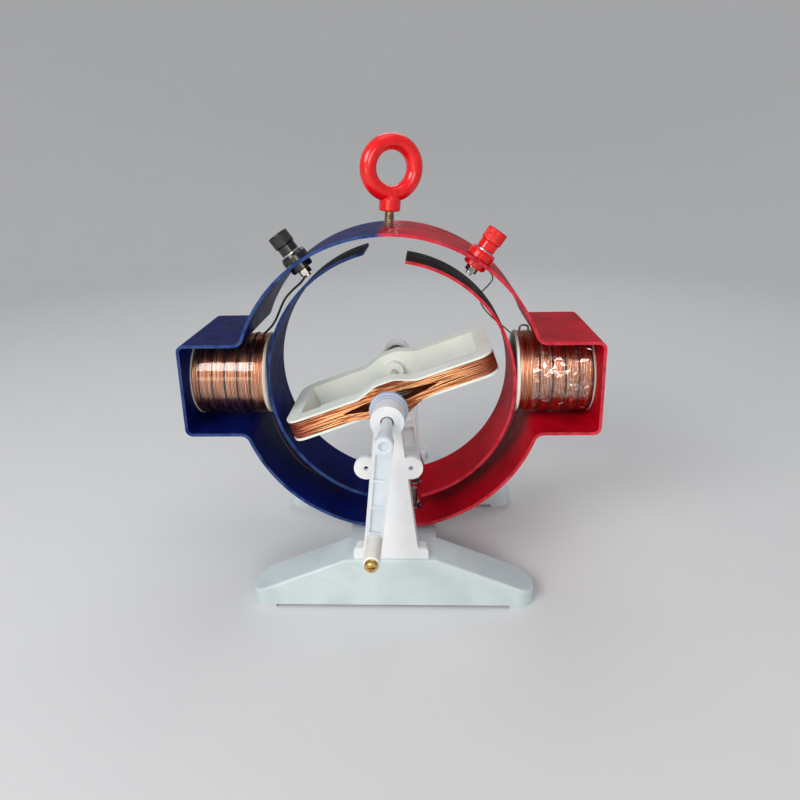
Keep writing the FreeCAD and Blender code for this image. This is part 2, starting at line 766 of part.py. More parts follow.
def build_core_screws():
    """Two countersunk screws, in from the outer walls of the boxes."""
    tools = []
    radius = CORE_SCREW_RADIUS
    head = radius + S.band_thickness - 0.1
    for way in (1, -1):
        body = new_body("CoreScrew")
        sketch = new_sketch(body, "XZ_Plane")
        draw_outline(sketch, [
            (0, -10), (radius, -10), (radius, 0), (head, S.band_thickness - 0.1),
            (head, S.band_thickness + 0.2), (0, S.band_thickness + 0.2),
        ])
        spin(body, sketch)
        cross_recess(body, S.band_thickness + 0.2)
        place(body, way * BOX_INSIDE, 0, RING_CENTRE, (0, 1, 0), way * 90)
        tools.append(body)
    pair = DOCUMENT.addObject("Part::Compound", "core_screws")
    pair.Links = tools
    keep(pair, "core_screws")


def build_ring_bolts():
    """Four bolts up through the spine and the ring, with washers and nuts on the ring's flat."""
    under = S.base_height - S.base_wall
    seat = RING_BOTTOM + S.band_thickness
    washer = 0.8
    nut = 3.2

    def group(label, draw, start, height, backwards=False):
        body = new_body(label)
        body.AllowCompound = True
        sketch = new_sketch(body, "XY_Plane", start)
        for x, y in bolt_spots():
            draw(sketch, x, y)
        pad(body, sketch, height, backwards=backwards)
        return keep(body, label)

    def hexagon(sketch, x, y):
        draw_hexagon(sketch, x, y, S.bolt_head_flats)

    def ring_shape(outer):
        def draw(sketch, x, y):
            draw_circle(sketch, x, y, outer)
            draw_circle(sketch, x, y, S.bolt_radius + S.seat_clearance)
        return draw

    def nut_shape(sketch, x, y):
        hexagon(sketch, x, y)
        draw_circle(sketch, x, y, S.bolt_radius + S.seat_clearance)

    bolts = group("ring_bolts", hexagon, under, 2.8, backwards=True)
    sketch = new_sketch(bolts, "XY_Plane", under - 1)
    for x, y in bolt_spots():
        draw_circle(sketch, x, y, S.bolt_radius)
    pad(bolts, sketch, S.bolt_rise - under + 1)
    group("ring_washers", ring_shape(4.5), seat, washer)
    group("ring_nuts", nut_shape, seat + washer, nut)


# ---------------------------------------------------------------- eye bolt


def build_eye_bolt():
    """Painted lifting eye on a plain stud, with its nut below the band. The stud leans a little."""
    stem = new_body("EyeStem")
    sketch = new_sketch(stem, "XZ_Plane")
    radius = S.eye_stud_radius
    collar = S.eye_collar_radius
    bottom = S.eye_stud_length
    top = bottom + S.eye_collar_height
    nut_top = S.band_thickness + 0.8
    tip = nut_top + S.eye_nut_height + 0.3
    draw_outline(sketch, [
        (0, -tip), (radius, -tip), (radius, bottom), (collar - 0.8, bottom), (collar, bottom + 0.8),
        (collar, top), (collar - 1.4, top + 2), (0, top + 2),
    ])
    spin(stem, sketch)
    ring = DOCUMENT.addObject("Part::Torus", "EyeRing")
    bind(ring, "Radius1", S.eye_ring_radius)
    bind(ring, "Radius2", S.eye_bar_radius)
    upright = Rotation(Vector(1, 0, 0), 90)
    turned_ring = Rotation(Vector(0, 0, 1), S.eye_turn.value) * upright
    ring.Placement = Placement(Vector(0, 0, 0), turned_ring)
    bind(ring, "Placement.Base.z", top - S.eye_sink + S.eye_ring_radius + S.eye_bar_radius)
    eye = DOCUMENT.addObject("Part::Fuse", "eye_bolt")
    eye.Base = stem
    eye.Tool = ring
    keep(eye, "eye_bolt")
    place(eye, 0, 0, RING_CENTRE + S.ring_radius, (0, 1, 0), S.eye_lean)

    nut = new_body("eye_nut")
    sketch = new_sketch(nut, "XY_Plane", -nut_top)
    draw_hexagon(sketch, 0, 0, 10)
    draw_circle(sketch, 0, 0, radius + S.seat_clearance)
    pad(nut, sketch, S.eye_nut_height, backwards=True)
    keep(nut, "eye_nut")
    place(nut, 0, 0, RING_CENTRE + S.ring_radius, (0, 1, 0), S.eye_lean)


# ---------------------------------------------------------------- binding posts


def build_post(side, way):
    """One binding post. Local Z points outwards from the band's outer face."""
    angle = way * S.post_angle
    x = S.ring_radius * sine(angle)
    z = RING_CENTRE + S.ring_radius * cosine(angle)
    inner_face = -S.band_thickness
    hole = S.post_stud_radius + S.seat_clearance
    collar = S.collar_radius
    top = S.collar_height
    pieces = [turned(f"post_collar_{side}", [
        (hole, inner_face), (S.post_hole_radius - 0.1, inner_face), (S.post_hole_radius - 0.1, 0.05),
        (collar, 0.05), (collar, top - 1.9), (collar - 1, top), (hole, top),
    ])]
    # the band curves towards the post on its inside, so the lower insulator starts a little lower
    lower = inner_face - 0.35
    bottom = lower - 4.2
    wide = collar - 1.1
    pieces.append(turned(f"post_insulator_{side}", [
        (hole, bottom), (wide - 0.8, bottom), (wide, bottom + 0.8), (wide, lower), (hole, lower),
    ]))
    stud = S.post_stud_radius
    ring_top = top + 0.6
    stud_top = ring_top + 8
    pieces.append(turned(f"post_stud_{side}", [
        (0, bottom - 5.6), (stud, bottom - 5.6), (stud, top), (S.cap_radius - 0.1, top),
        (S.cap_radius - 0.1, ring_top), (stud, ring_top), (stud, stud_top), (0, stud_top),
    ]))

    tag = new_body(f"post_tag_{side}")
    sketch = new_sketch(tag, "XY_Plane", bottom)
    draw_circle(sketch, 0, 0, 3.7)
    draw_circle(sketch, 0, 0, hole)
    pad(tag, sketch, 0.5, backwards=True)
    sketch = new_sketch(tag, "XY_Plane", bottom)
    draw_rectangle(sketch, -1.2, 1.2, 3.2, 8.2)
    pad(tag, sketch, 0.5, backwards=True)
    pieces.append(keep(tag, f"post_tag_{side}"))

    nut = new_body(f"post_nut_{side}")
    sketch = new_sketch(nut, "XY_Plane", bottom - 0.5)
    draw_hexagon(sketch, 0, 0, S.bolt_head_flats)
    draw_circle(sketch, 0, 0, hole)
    pad(nut, sketch, 3.2, backwards=True)
    pieces.append(keep(nut, f"post_nut_{side}"))

    # the cap is moulded round a brass insert, which travels on the stud
    start = ring_top + S.face_gap
    end = start + S.cap_height
    insert = size_of(3.6)
    insert_top = start + 8.6
    pieces.append(turned(f"cap_insert_{side}", [
        (stud + S.running_clearance, start), (insert, start), (insert, insert_top),
        (stud + S.running_clearance, insert_top),
    ]))
    wall = insert + S.running_clearance
    neck = start + S.cap_height * 0.4
    pieces.append(turned(f"cap_{side}", [
        (wall, start), (S.cap_neck_radius, start), (S.cap_neck_radius, neck),
        (S.cap_radius, neck + 0.5), (S.cap_radius, end - 0.8), (S.cap_radius - 0.8, end), (0, end),
        (0, insert_top + 0.2), (wall, insert_top + 0.2),
    ]))
    for piece in pieces:
        place(piece, x, -S.post_forward, z, (0, 1, 0), angle)


# ---------------------------------------------------------------- rotor


def hump_line(level, reach):
    """Corners of a flange line, left to right, with its hump over the shaft."""
    crest = level + S.hump_rise
    return [
        (-reach, level), (-S.hump_foot, level), (-S.hump_top, crest),
        (S.hump_top, crest), (S.hump_foot, level), (reach, level),
    ]


def mirrored_down(points):
    return [(x, -y) for x, y in reversed(points)]


def along_y(a, b):
    return abs(a.y - b.y) > 5 and abs(a.x - b.x) < 0.01 and abs(a.z - b.z) < 0.01


def at_bend(a, b):
    return along_y(a, b) and (near(abs(a.x), S.hump_foot) or near(abs(a.x), S.hump_top))


def build_armature_frame():
    """Moulded former: two humped flanges on a rectangular wall, open through the middle."""
    body = new_body("armature_frame")
    half_length = S.frame_length / 2
    half_width = S.frame_width / 2
    outer = S.frame_half_height
    wall_x = half_length - S.frame_overhang
    wall_y = half_width - S.frame_overhang

    sketch = new_sketch(body, "XZ_Plane")
    line = hump_line(outer - S.frame_flange / 2, wall_x)
    draw_outline(sketch, line + mirrored_down(line))
    pad(body, sketch, 2 * wall_y, middle=True)
    for way in (1, -1):
        sketch = new_sketch(body, "XZ_Plane")
        top = hump_line(outer, half_length)
        under = hump_line(outer - S.frame_flange, half_length)
        strip = top + list(reversed(under))
        draw_outline(sketch, [(x, way * z) for x, z in strip])
        pad(body, sketch, S.frame_width, middle=True)
    round_edges(body, at_bend, S.hump_round)

    def corner(a, b):
        upright = abs(a.x - b.x) < 0.01 and abs(a.y - b.y) < 0.01 and abs(a.z - b.z) > 0.5
        return upright and near(abs(a.x), half_length) and near(abs(a.y), half_width)

    round_edges(body, corner, S.frame_corner)

    # the pocket goes right through, with a sleeve for the shaft in either long wall
    sketch = new_sketch(body, "XY_Plane")
    pocket_x = wall_x - S.frame_wall
    pocket_y = wall_y - S.frame_wall
    draw_rectangle(sketch, -pocket_x, pocket_x, -pocket_y, pocket_y)
    pocket(body, sketch, 60, middle=True)
    for way in (1, -1):
        sketch = new_sketch(body, "XZ_Plane", way * (wall_y - S.frame_wall / 2))
        draw_circle(sketch, 0, 0, S.sleeve_radius)
        pad(body, sketch, S.frame_wall / 2 + S.sleeve_length, backwards=way == 1)
    sketch = new_sketch(body, "XZ_Plane")
    draw_circle(sketch, 0, 0, S.shaft_radius + S.seat_clearance)
    pocket(body, sketch, S.frame_width + 2, middle=True)
    keep(body, "armature_frame")
    place(body, 0, 0, SHAFT, (0, 1, 0), -S.rotor_tilt)
    return body


def build_armature_winding(frame):
    """Wire round the former, in two bundles that part above and below the shaft."""
    body = new_body("WindingBlock")
    half_length = S.frame_length / 2 - S.winding_shy
    half_width = S.frame_width / 2 - S.winding_shy
    level = S.frame_half_height - S.frame_flange / 2
    sketch = new_sketch(body, "XZ_Plane")
    line = hump_line(level, half_length)
    draw_outline(sketch, line + mirrored_down(line))
    pad(body, sketch, 2 * half_width, middle=True)
    round_edges(body, at_bend, S.hump_round)

    def corner(a, b):
        upright = abs(a.x - b.x) < 0.01 and abs(a.y - b.y) < 0.01 and abs(a.z - b.z) > 0.5
        return upright and near(abs(a.x), half_length)

    round_edges(body, corner, S.frame_corner)
    sketch = new_sketch(body, "XY_Plane")
    inside_x = S.frame_length / 2 - S.frame_overhang - S.frame_wall / 2
    inside_y = S.frame_width / 2 - S.frame_overhang - S.frame_wall / 2
    draw_rectangle(sketch, -inside_x, inside_x, -inside_y, inside_y)
    pocket(body, sketch, 60, middle=True)
    sketch = new_sketch(body, "XZ_Plane")
    long = S.split_half_length
    tall = S.split_half_height
    draw_outline(sketch, [
        (-long, 0), (-0.5 * long, -0.62 * tall), (-0.2 * long, -1 * tall), (0.2 * long, -1 * tall),
        (0.5 * long, -0.62 * tall), (long, 0), (0.5 * long, 0.62 * tall), (0.2 * long, tall),
        (-0.2 * long, tall), (-0.5 * long, 0.62 * tall),
    ])
    pocket(body, sketch, S.frame_width + 2, middle=True)
    place(body, 0, 0, SHAFT, (0, 1, 0), -S.rotor_tilt)
    cut(body, [frame], "armature_winding")


def build_shaft():
    radius = S.shaft_radius
    length = S.shaft_front + S.shaft_back
    shaft = turned("shaft", [
        (0, 0), (radius - 0.4, 0), (radius, 0.4), (radius, length - 0.4), (radius - 0.4, length), (0, length),
    ])
    place(shaft, 0, -S.shaft_front, SHAFT, (1, 0, 0), -90)


def build_pulley():
    """Grooved drive pulley behind the front upright."""
    bore = S.shaft_radius + S.seat_clearance
    front = S.pulley_radius
    back = S.pulley_back_radius
    floor = front - 1.4
    pulley = turned("drive_pulley", [
        (bore, -9), (5.2, -9), (5.2, -7), (back - 0.5, -7), (back, -6.5), (back, -3.5), (back - 0.3, -3.2),
        (floor, -2.6), (floor, -2.2), (front, -1.9), (front, -0.6), (front - 0.6, 0), (bore, 0),
    ])
    place(pulley, 0, -UPRIGHT_INSIDE + 1, SHAFT, (1, 0, 0), 90)


def build_commutator():
    """Insulating hub with two copper half shells."""
    bore = S.shaft_radius + S.seat_clearance
    copper = S.commutator_radius
    hub = copper - S.segment_thickness
    length = S.commutator_length
    lip = S.commutator_lip
    body = turned("commutator_hub", [
        (bore, -3), (hub + 0.9, -3), (hub + 0.9, -lip), (hub, -lip + 0.2), (hub, length + 0.2),
        (hub + 0.9, length + 0.4), (hub + 0.9, length + lip + 0.4), (bore, length + lip + 0.4),
    ])
    place(body, 0, S.commutator_start, SHAFT, (1, 0, 0), -90)
    for label, turn in (("commutator_segment_a", 90), ("commutator_segment_b", -90)):
        segment = new_body(label)
        sketch = new_sketch(segment, "XY_Plane")
        start = S.commutator_start
        draw_rectangle(sketch, hub + S.seat_clearance, copper, start, start + length)
        spin(segment, sketch, "Y_Axis", S.segment_angle, middle=True)
        keep(segment, label)
        place(segment, 0, 0, SHAFT, (0, 1, 0), turn - S.rotor_tilt)


def build_shaft_clip():
    """Push-on clip that keeps the shaft from sliding out."""
    clip = turned("shaft_clip", [
        (S.shaft_radius + S.seat_clearance, 0), (6.2, 0), (6.2, 0.6), (4.6, 1.2),
        (S.shaft_radius + S.seat_clearance, 1.2),
    ])
    place(clip, 0, S.upright_front + 1.3, SHAFT, (1, 0, 0), -90)


# ---------------------------------------------------------------- crank


def build_crank():
    """Tapered hub, an arm with shallow panels, and the grip. Local Z points up the arm to the shaft."""
    body = new_body("crank_arm")
    end = S.hub_end
    reach = S.crank_radius
    start = S.upright_front - S.bush_recess + S.hub_gap
    high = S.arm_head_half
    low = S.arm_foot_half
    face = end - S.hub_lip

    # hub, a cone on the shaft that is slimmest at the upright
    sketch = new_sketch(body, "XY_Plane")
    draw_outline(sketch, [(0, -start), (S.hub_root_radius, -start), (S.hub_radius, -end), (0, -end)])
    spin(body, sketch, "Y_Axis")
    # tapered arm with two round ends
    sketch = new_sketch(body, "XZ_Plane", face - S.arm_depth)
    draw_outline(sketch, [(-high, 0), (high, 0), (low, -reach), (-low, -reach)])
    pad(body, sketch, S.arm_depth)
    for z, radius in ((0, high), (-reach, low)):
        sketch = new_sketch(body, "XZ_Plane", face - S.arm_depth)
        draw_circle(sketch, 0, z, radius)
        pad(body, sketch, S.arm_depth)
    # three shallow panels in the front of the arm, with cross ribs between them
    sketch = new_sketch(body, "XZ_Plane", face)
    wall = S.arm_wall
    top = -(S.hub_radius + S.hub_lip)
    bottom = S.arm_foot_half + S.hub_lip - reach
    step = (top - bottom + wall) / 3

    def half_panel(z):
        return high + (high - low) * (z / reach) - wall

    for index in range(3):
        roof = top - step * index
        floor = roof - step + wall
        draw_outline(sketch, [
            (-half_panel(floor), floor), (half_panel(floor), floor), (half_panel(roof), roof), (-half_panel(roof), roof),
        ])
    pocket(body, sketch, S.arm_recess)
    # bore for the shaft from behind, and a moulded dimple in the end face
    sketch = new_sketch(body, "XZ_Plane", start - 0.1)
    draw_circle(sketch, 0, 0, S.shaft_radius + S.seat_clearance)
    pocket(body, sketch, S.shaft_front - start + 0.3, backwards=True)
    sketch = new_sketch(body, "XZ_Plane", end)
    draw_circle(sketch, 0, 0, S.hub_dimple_radius)
    pocket(body, sketch, 1.2)
    sketch = new_sketch(body, "XZ_Plane", face)
    draw_circle(sketch, 0, -reach, S.grip_screw_radius + S.seat_clearance)
    pocket(body, sketch, S.arm_depth - 0.8)
    keep(body, "crank_arm")
    place(body, 0, 0, SHAFT, (0, 1, 0), S.crank_angle)

    # grip that turns on its screw
    x = -reach * sine(S.crank_angle)
    z = SHAFT - reach * cosine(S.crank_angle)
    bore = S.grip_screw_radius + S.running_clearance
    outer = S.grip_radius
    length = S.grip_length
    grip = turned("crank_grip", [
        (bore, 0), (outer, 0), (outer, length - 0.6), (outer - 0.6, length), (bore, length),
    ])
    place(grip, x, -(face + S.face_gap), z, (1, 0, 0), 90)
    shank = S.grip_screw_radius
    seat = length + 2 * S.face_gap
    head = S.grip_screw_head
    screw = turned("grip_screw", [
        (0, -4), (shank, -4), (shank, seat), (head, seat), (head, seat + 0.9), (head - 0.7, seat + 1.9),
        (head - 2.0, seat + 2.4), (0, seat + 2.4),
    ])
    cross_recess(screw, seat + 2.4)
    place(screw, x, -face, z, (1, 0, 0), 90)


# ---------------------------------------------------------------- brushes


def build_brushes():
    """Springy leaf brushes on the rear upright's ears, one on either side of the commutator."""
    thin = S.leaf_thickness
    plate_back = S.upright_front - S.upright_web
    ear_z = PLATFORM + S.ear_rise
    inner = S.commutator_radius + S.brush_gap
    outer = S.ear_offset + 5.4
    near_y = S.commutator_start + 3
    leaf_end = S.commutator_start + 13
    low = ear_z - 5
    high = ear_z + 5
    for side, way in (("left", -1), ("right", 1)):
        body = new_body(f"brush_{side}")
        sketch = new_sketch(body, "XZ_Plane", -near_y)
        draw_outline(sketch, [
            (way * outer, low), (way * (outer + thin), low), (way * (outer + thin), high),
            (way * (inner + thin), SHAFT), (way * (inner + thin + 1.6), SHAFT + 5),
            (way * (inner + 1.6), SHAFT + 5), (way * inner, SHAFT), (way * outer, high),
        ])
        pad(body, sketch, leaf_end - near_y, backwards=True)
        sketch = new_sketch(body, "XZ_Plane", -near_y)
        draw_rectangle(sketch, *sorted_pair(way * outer, way * (outer + thin)), low, high)
        pad(body, sketch, plate_back - near_y, backwards=True)
        sketch = new_sketch(body, "XZ_Plane", -plate_back)
        draw_rectangle(sketch, *sorted_pair(way * (S.ear_offset - 2.1), way * (outer + thin)), low, high)
        pad(body, sketch, thin)
        sketch = new_sketch(body, "XZ_Plane", -plate_back)
        draw_circle(sketch, way * S.ear_offset, ear_z, S.ear_hole_radius + 0.1)
        pocket(body, sketch, 2, middle=True)
        keep(body, f"brush_{side}")

    screws = []
    for way in (1, -1):
        radius = S.ear_hole_radius - 0.05
        face = S.leaf_thickness
        screw = new_body("BrushScrew")
        sketch = new_sketch(screw, "XZ_Plane")
        length = S.upright_web + 1.5
        draw_outline(sketch, [
            (0, -length), (radius, -length), (radius, face), (2.3, face), (2.3, face + 0.9), (1.6, face + 1.5),
            (0, face + 1.6),
        ])
        spin(screw, sketch)
        place(screw, way * S.ear_offset, plate_back, ear_z, (1, 0, 0), 90)
        screws.append(screw)
    pair = DOCUMENT.addObject("Part::Compound", "brush_screws")
    pair.Links = screws
    keep(pair, "brush_screws")


def sorted_pair(first, second):
    return (first, second) if first.value < second.value else (second, first)


# ---------------------------------------------------------------- leads


def rounded_route(points):
    """Straight runs joined by tangent arcs, each as large as its shorter run allows."""
    edges = []
    radii = []
    start = points[0]
    for index in range(1, len(points) - 1):
        corner = points[index]
        back = points[index - 1] - corner
        ahead = points[index + 1] - corner
        half_turn = (math.pi - back.getAngle(ahead)) / 2
        trim = 0.45 * min(back.Length, ahead.Length)
        radii.append(trim / math.tan(half_turn))
        enter = corner + back.normalize() * trim
        leave = corner + ahead.normalize() * trim
        bisector = (back + ahead).normalize()
        centre_distance = radii[-1] / math.cos(half_turn)
        middle = corner + bisector * (centre_distance - radii[-1])
        edges.append(Part.LineSegment(start, enter).toShape())
        edges.append(Part.Arc(enter, middle, leave).toShape())
        start = leave
    edges.append(Part.LineSegment(start, points[-1]).toShape())
    return edges, radii


def build_lead(label, points, radius):
    """A lead held at both ends: a round wire along its route."""
    route = [Vector(*point) for point in points]
    edges, radii = rounded_route(route)
    path = Part.Wire(edges)
    direction = route[1] - route[0]
    circle = Part.Wire([Part.makeCircle(radius, route[0], direction)])
    feature = DOCUMENT.addObject("Part::Feature", label)
    feature.Shape = path.makePipeShell([circle], True, False)
    share = feature.Shape.Volume / (math.pi * radius ** 2 * path.Length)
    print(f"{label}: length {path.Length:.1f}, tightest radius {min(radii):.1f}, volume share {share:.3f}")
    keep(feature, label)


def build_leads():
    build_lead("lead_post_left", [
        (-53.44, -15.6, 210.95), (-53.7, -15.8, 206.2), (-57.2, -15.4, 201.6), (-62.8, -15.1, 197.2),
        (-68.9, -14.4, 190.8), (-72.8, -12.6, 183.2), (-77.0, -8.5, 175.4), (-81.8, -4.0, 168.8),
        (-88.0, 0.0, 163.35),
    ], S.cord_radius.value)
    build_lead("lead_post_right", [
        (53.3, -15.6, 210.85), (53.9, -11.4, 210.0), (57.6, -6.6, 210.3), (63.6, 0.6, 206.8),
        (69.0, 11.0, 200.6), (70.6, 19.0, 195.2), (67.0, 24.0, 189.4), (62.4, 26.5, 184.2),
        (62.5, 27.5, 176.5), (67.5, 28.0, 169.5), (74.5, 27.5, 163.0), (81.8, 25.5, 157.5),
        (88.0, 22.2, 152.0),
    ], S.wire_radius.value)
    for side, way in (("left", -1), ("right", 1)):
        build_lead(f"lead_brush_{side}", [
            (way * 88.0, -1.0, 107.8), (way * 84.5, -5.0, 100.0), (way * 79.8, -10.5, 90.5),
            (way * 65.5, -14.0, 69.5), (way * 46.5, -6.0, 54.5), (way * 27.0, 12.0, 47.2),
            (way * 21.5, 27.0, 46.5), (way * 18.0, 40.5, 49.0), (way * 16.6, 52.0, 55.5),
            (way * 15.9, 59.5, 66.0), (way * 15.3, 64.0, 79.0), (way * 15.2, 67.05, 93.4),
        ], S.wire_radius.value)


def build_all():
    build_base()
    build_upright("front_upright", 0)
    build_upright("rear_upright", 180)
    build_bushes()
    build_upright_screws()
    build_band()
    build_pole_shoe("pole_shoe_left", -1, S.left_shoe_radius, size_of(0), S.left_shoe_up,
                    S.left_shoe_down)
    build_pole_shoe("pole_shoe_right", 1, S.right_shoe_radius, S.right_shoe_drop, S.right_shoe_up,
                    S.right_shoe_down)
    build_coils()
    build_core_screws()
    build_ring_bolts()
    build_eye_bolt()
    build_post("left", -1)
    build_post("right", 1)
    frame = build_armature_frame()
    build_armature_winding(frame)
    build_shaft()
    build_pulley()
    build_commutator()
    build_shaft_clip()
    build_crank()
    build_brushes()
    build_leads()
    DOCUMENT.recompute()


def check_all():
    for thing in DOCUMENT.Objects:
        if "Invalid" in thing.State or "Error" in thing.State:
            raise RuntimeError(f"{thing.Name} ({thing.Label}) failed: {thing.State}")
    for label, thing in PARTS.items():
        if thing.Shape.isNull() or not thing.Shape.isValid() or not thing.Shape.Solids:
            raise RuntimeError(f"{label} has no valid solid")


def write_all():
    os.makedirs("parts", exist_ok=True)
    for label, thing in PARTS.items():
        thing.Shape.exportStep(f"parts/{label}.step")
        box = thing.Shape.BoundBox
        print(f"{label}: {len(thing.Shape.Solids)} solid(s), {thing.Shape.Volume:.0f} mm3, "
              f"{box.XLength:.1f} x {box.YLength:.1f} x {box.ZLength:.1f}")


build_all()
check_all()
write_all()
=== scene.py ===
# %% [markdown]
# # A demonstration electric motor
#
# This lesson dresses a classroom motor for its picture. The shapes that carry load or turn come
# from the CAD model, and each keeps its place. What is wound, threaded, knurled, tied, wrapped or
# painted is made here. Lengths in the text are millimetres, and Blender works in metres.

import math
from functools import partial

import bmesh
import bpy
from mathutils import Matrix, Vector, noise


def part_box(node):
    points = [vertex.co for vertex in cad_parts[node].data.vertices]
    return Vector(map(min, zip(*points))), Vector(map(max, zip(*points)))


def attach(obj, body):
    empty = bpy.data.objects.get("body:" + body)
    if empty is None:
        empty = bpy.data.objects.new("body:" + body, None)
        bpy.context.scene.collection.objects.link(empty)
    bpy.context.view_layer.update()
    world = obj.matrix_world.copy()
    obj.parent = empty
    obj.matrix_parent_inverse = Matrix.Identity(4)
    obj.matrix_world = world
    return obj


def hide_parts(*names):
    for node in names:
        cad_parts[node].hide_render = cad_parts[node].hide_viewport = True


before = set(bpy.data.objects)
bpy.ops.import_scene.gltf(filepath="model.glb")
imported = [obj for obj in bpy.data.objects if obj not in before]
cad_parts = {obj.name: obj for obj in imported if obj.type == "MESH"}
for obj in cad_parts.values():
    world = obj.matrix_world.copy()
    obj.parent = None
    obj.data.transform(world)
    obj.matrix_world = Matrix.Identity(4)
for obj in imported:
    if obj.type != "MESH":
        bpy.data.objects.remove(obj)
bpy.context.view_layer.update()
MM = 0.001

# %% [markdown]
# ## The camera
#
# A camera can be placed by eye or by its numbers. Numbers are used here: where it stands, how far
# it is turned, and a wide lens, because the motor was looked at from close by.

# %% Place the camera
def aim(yaw, pitch, roll):
    ahead = Vector((math.sin(yaw) * math.cos(pitch), math.cos(yaw) * math.cos(pitch), -math.sin(pitch)))
    across = Vector((math.cos(yaw), -math.sin(yaw), 0))
    upward = across.cross(ahead)
    tilted = math.cos(roll) * across + math.sin(roll) * upward
    upright = math.cos(roll) * upward - math.sin(roll) * across
    return Matrix((tilted, upright, -ahead)).transposed()


lens = bpy.data.cameras.new("camera")
lens.lens = 28.10
lens.shift_x = -0.0017
lens.shift_y = -0.0876
lens.clip_start = 0.01
camera = bpy.data.objects.new("camera", lens)
scene = bpy.context.scene
STAND_POINT = Vector((0.02381, -0.41098, 0.27998))
camera.matrix_world = Matrix.Translation(STAND_POINT) @ aim(-0.0416, 0.2728, -0.0217).to_4x4()
scene.collection.objects.link(camera)
scene.camera = camera
print("camera stands", round(camera.matrix_world.translation.length * 1000), "mm from the base")

# %% [markdown]
# ## Node helpers
#
# Materials and Geometry Nodes trees are both lists of nodes joined by wires. A few small helpers
# keep their code short: they add a node and fill or wire its sockets, add a sum, or mix two colours.

# %% Add nodes with one line each
def plug(tree, sockets, terms):
    """Gives each socket its term, which is a value or a wire."""
    for socket, term in zip(sockets, terms):
        if isinstance(term, bpy.types.NodeSocket):
            tree.links.new(term, socket)
        else:
            socket.default_value = term


def add_node(tree, kind, settings=None, **sockets):
    """A node whose settings and sockets are given by name."""
    made = tree.nodes.new(kind)
    for name, value in (settings or {}).items():
        setattr(made, name, value)
    plug(tree, [made.inputs[name.replace("_", " ")] for name in sockets], sockets.values())
    return made


def sum_node(tree, operation, *terms, clamp=False):
    """The result of one sum."""
    made = add_node(tree, "ShaderNodeMath", {"operation": operation, "use_clamp": clamp})
    plug(tree, made.inputs, terms)
    return made.outputs[0]


def sums(tree):
    """The three sums that are wanted most, for one tree: plus, minus and times."""
    return [partial(sum_node, tree, operation) for operation in ("ADD", "SUBTRACT", "MULTIPLY")]


def vector_node(tree, operation, *terms, result="Vector"):
    """The result of one sum with vectors."""
    made = add_node(tree, "ShaderNodeVectorMath", {"operation": operation})
    plug(tree, made.inputs, terms)
    return made.outputs[result]


def parts_of(tree, wire):
    """The X, Y and Z of a vector."""
    return add_node(tree, "ShaderNodeSeparateXYZ", Vector=wire).outputs


def ramp_between(tree, wire, low, high):
    """0 below low and 1 above high, with a soft change. Where low is the larger one, it falls."""
    made = add_node(tree, "ShaderNodeMapRange", {"interpolation_type": "SMOOTHSTEP"}, Value=wire,
                    From_Min=low, From_Max=high)
    return made.outputs["Result"]


def mix_colours(tree, share, first, second):
    """The first colour where the share is 0, the second where it is 1."""
    made = add_node(tree, "ShaderNodeMix", {"data_type": "RGBA"})
    plug(tree, (made.inputs[0], made.inputs[6], made.inputs[7]), (share, first, second))
    return made.outputs[2]


print("helpers ready")

# %% [markdown]
# ## Colours and the workshop of finishes
#
# A colour picked from a swatch is stored for the screen, and a shader wants light, so each one is
# converted once. Every finish is a Principled shader on Object coordinates, which are the motor's
# own millimetres, so a pattern has its real size and stays put when a piece turns.

# %% Convert colours and start a finish
def paint_chip(red, green, blue):
    """A screen colour, 0 to 255, as the light that a shader works in."""
    def to_light(part):
        part = part / 255
        return part / 12.92 if part <= 0.04045 else ((part + 0.055) / 1.055) ** 2.4
    return (to_light(red), to_light(green), to_light(blue), 1.0)


class Finish:
    """A material under construction: its tree, its shader and its coordinates in metres."""

    def __init__(self, name, roughness, metallic=0.0, coat=0.0):
        self.material = bpy.data.materials.new(name)
        self.material.use_nodes = True
        self.tree = self.material.node_tree
        self.shader = self.tree.nodes["Principled BSDF"]
        plain = {"Roughness": roughness, "Metallic": metallic, "Coat Weight": coat, "Coat Roughness": 0.06}
        for socket, value in plain.items():
            self.shader.inputs[socket].default_value = value
        self.place = self.tree.nodes.new("ShaderNodeTexCoord").outputs["Object"]

    def noise(self, size, detail=3.0, stretch=(1, 1, 1), distortion=0.0, turn=0.0):
        """Cloudy noise with blotches of about size metres. It can be turned about Y, then stretched."""
        turned = add_node(self.tree, "ShaderNodeMapping", Vector=self.place, Rotation=(0, turn, 0))
        stretched = add_node(self.tree, "ShaderNodeMapping", Vector=turned.outputs[0], Scale=stretch)
        made = add_node(self.tree, "ShaderNodeTexNoise", Vector=stretched.outputs[0],
                        Scale=1 / size, Detail=detail, Distortion=distortion)
        return made.outputs["Fac"]

    def mix(self, share, first, second):
        return mix_colours(self.tree, share, first, second)

    def times(self, first, second):
        return sum_node(self.tree, "MULTIPLY", first, second)

    def between(self, wire, low, high):
        return ramp_between(self.tree, wire, low, high)

    def colour(self, wire):
        self.tree.links.new(wire, self.shader.inputs["Base Color"])

    def roughness(self, wire, low, high):
        """Roughness from low to high, as a noise goes from 0.3 to 0.7."""
        made = add_node(self.tree, "ShaderNodeMapRange", Value=wire, From_Min=0.3, From_Max=0.7, To_Min=low,
                        To_Max=high)
        self.tree.links.new(made.outputs["Result"], self.shader.inputs["Roughness"])

    def bump(self, wire, height, strength=1.0):
        """A relief. Several calls lie on top of each other."""
        made = add_node(self.tree, "ShaderNodeBump", Height=wire, Distance=height, Strength=strength)
        under = self.shader.inputs["Normal"]
        if under.links:
            self.tree.links.new(under.links[0].from_socket, made.inputs["Normal"])
        self.tree.links.new(made.outputs["Normal"], under)


print("white reads back as", paint_chip(255, 255, 255)[:3])

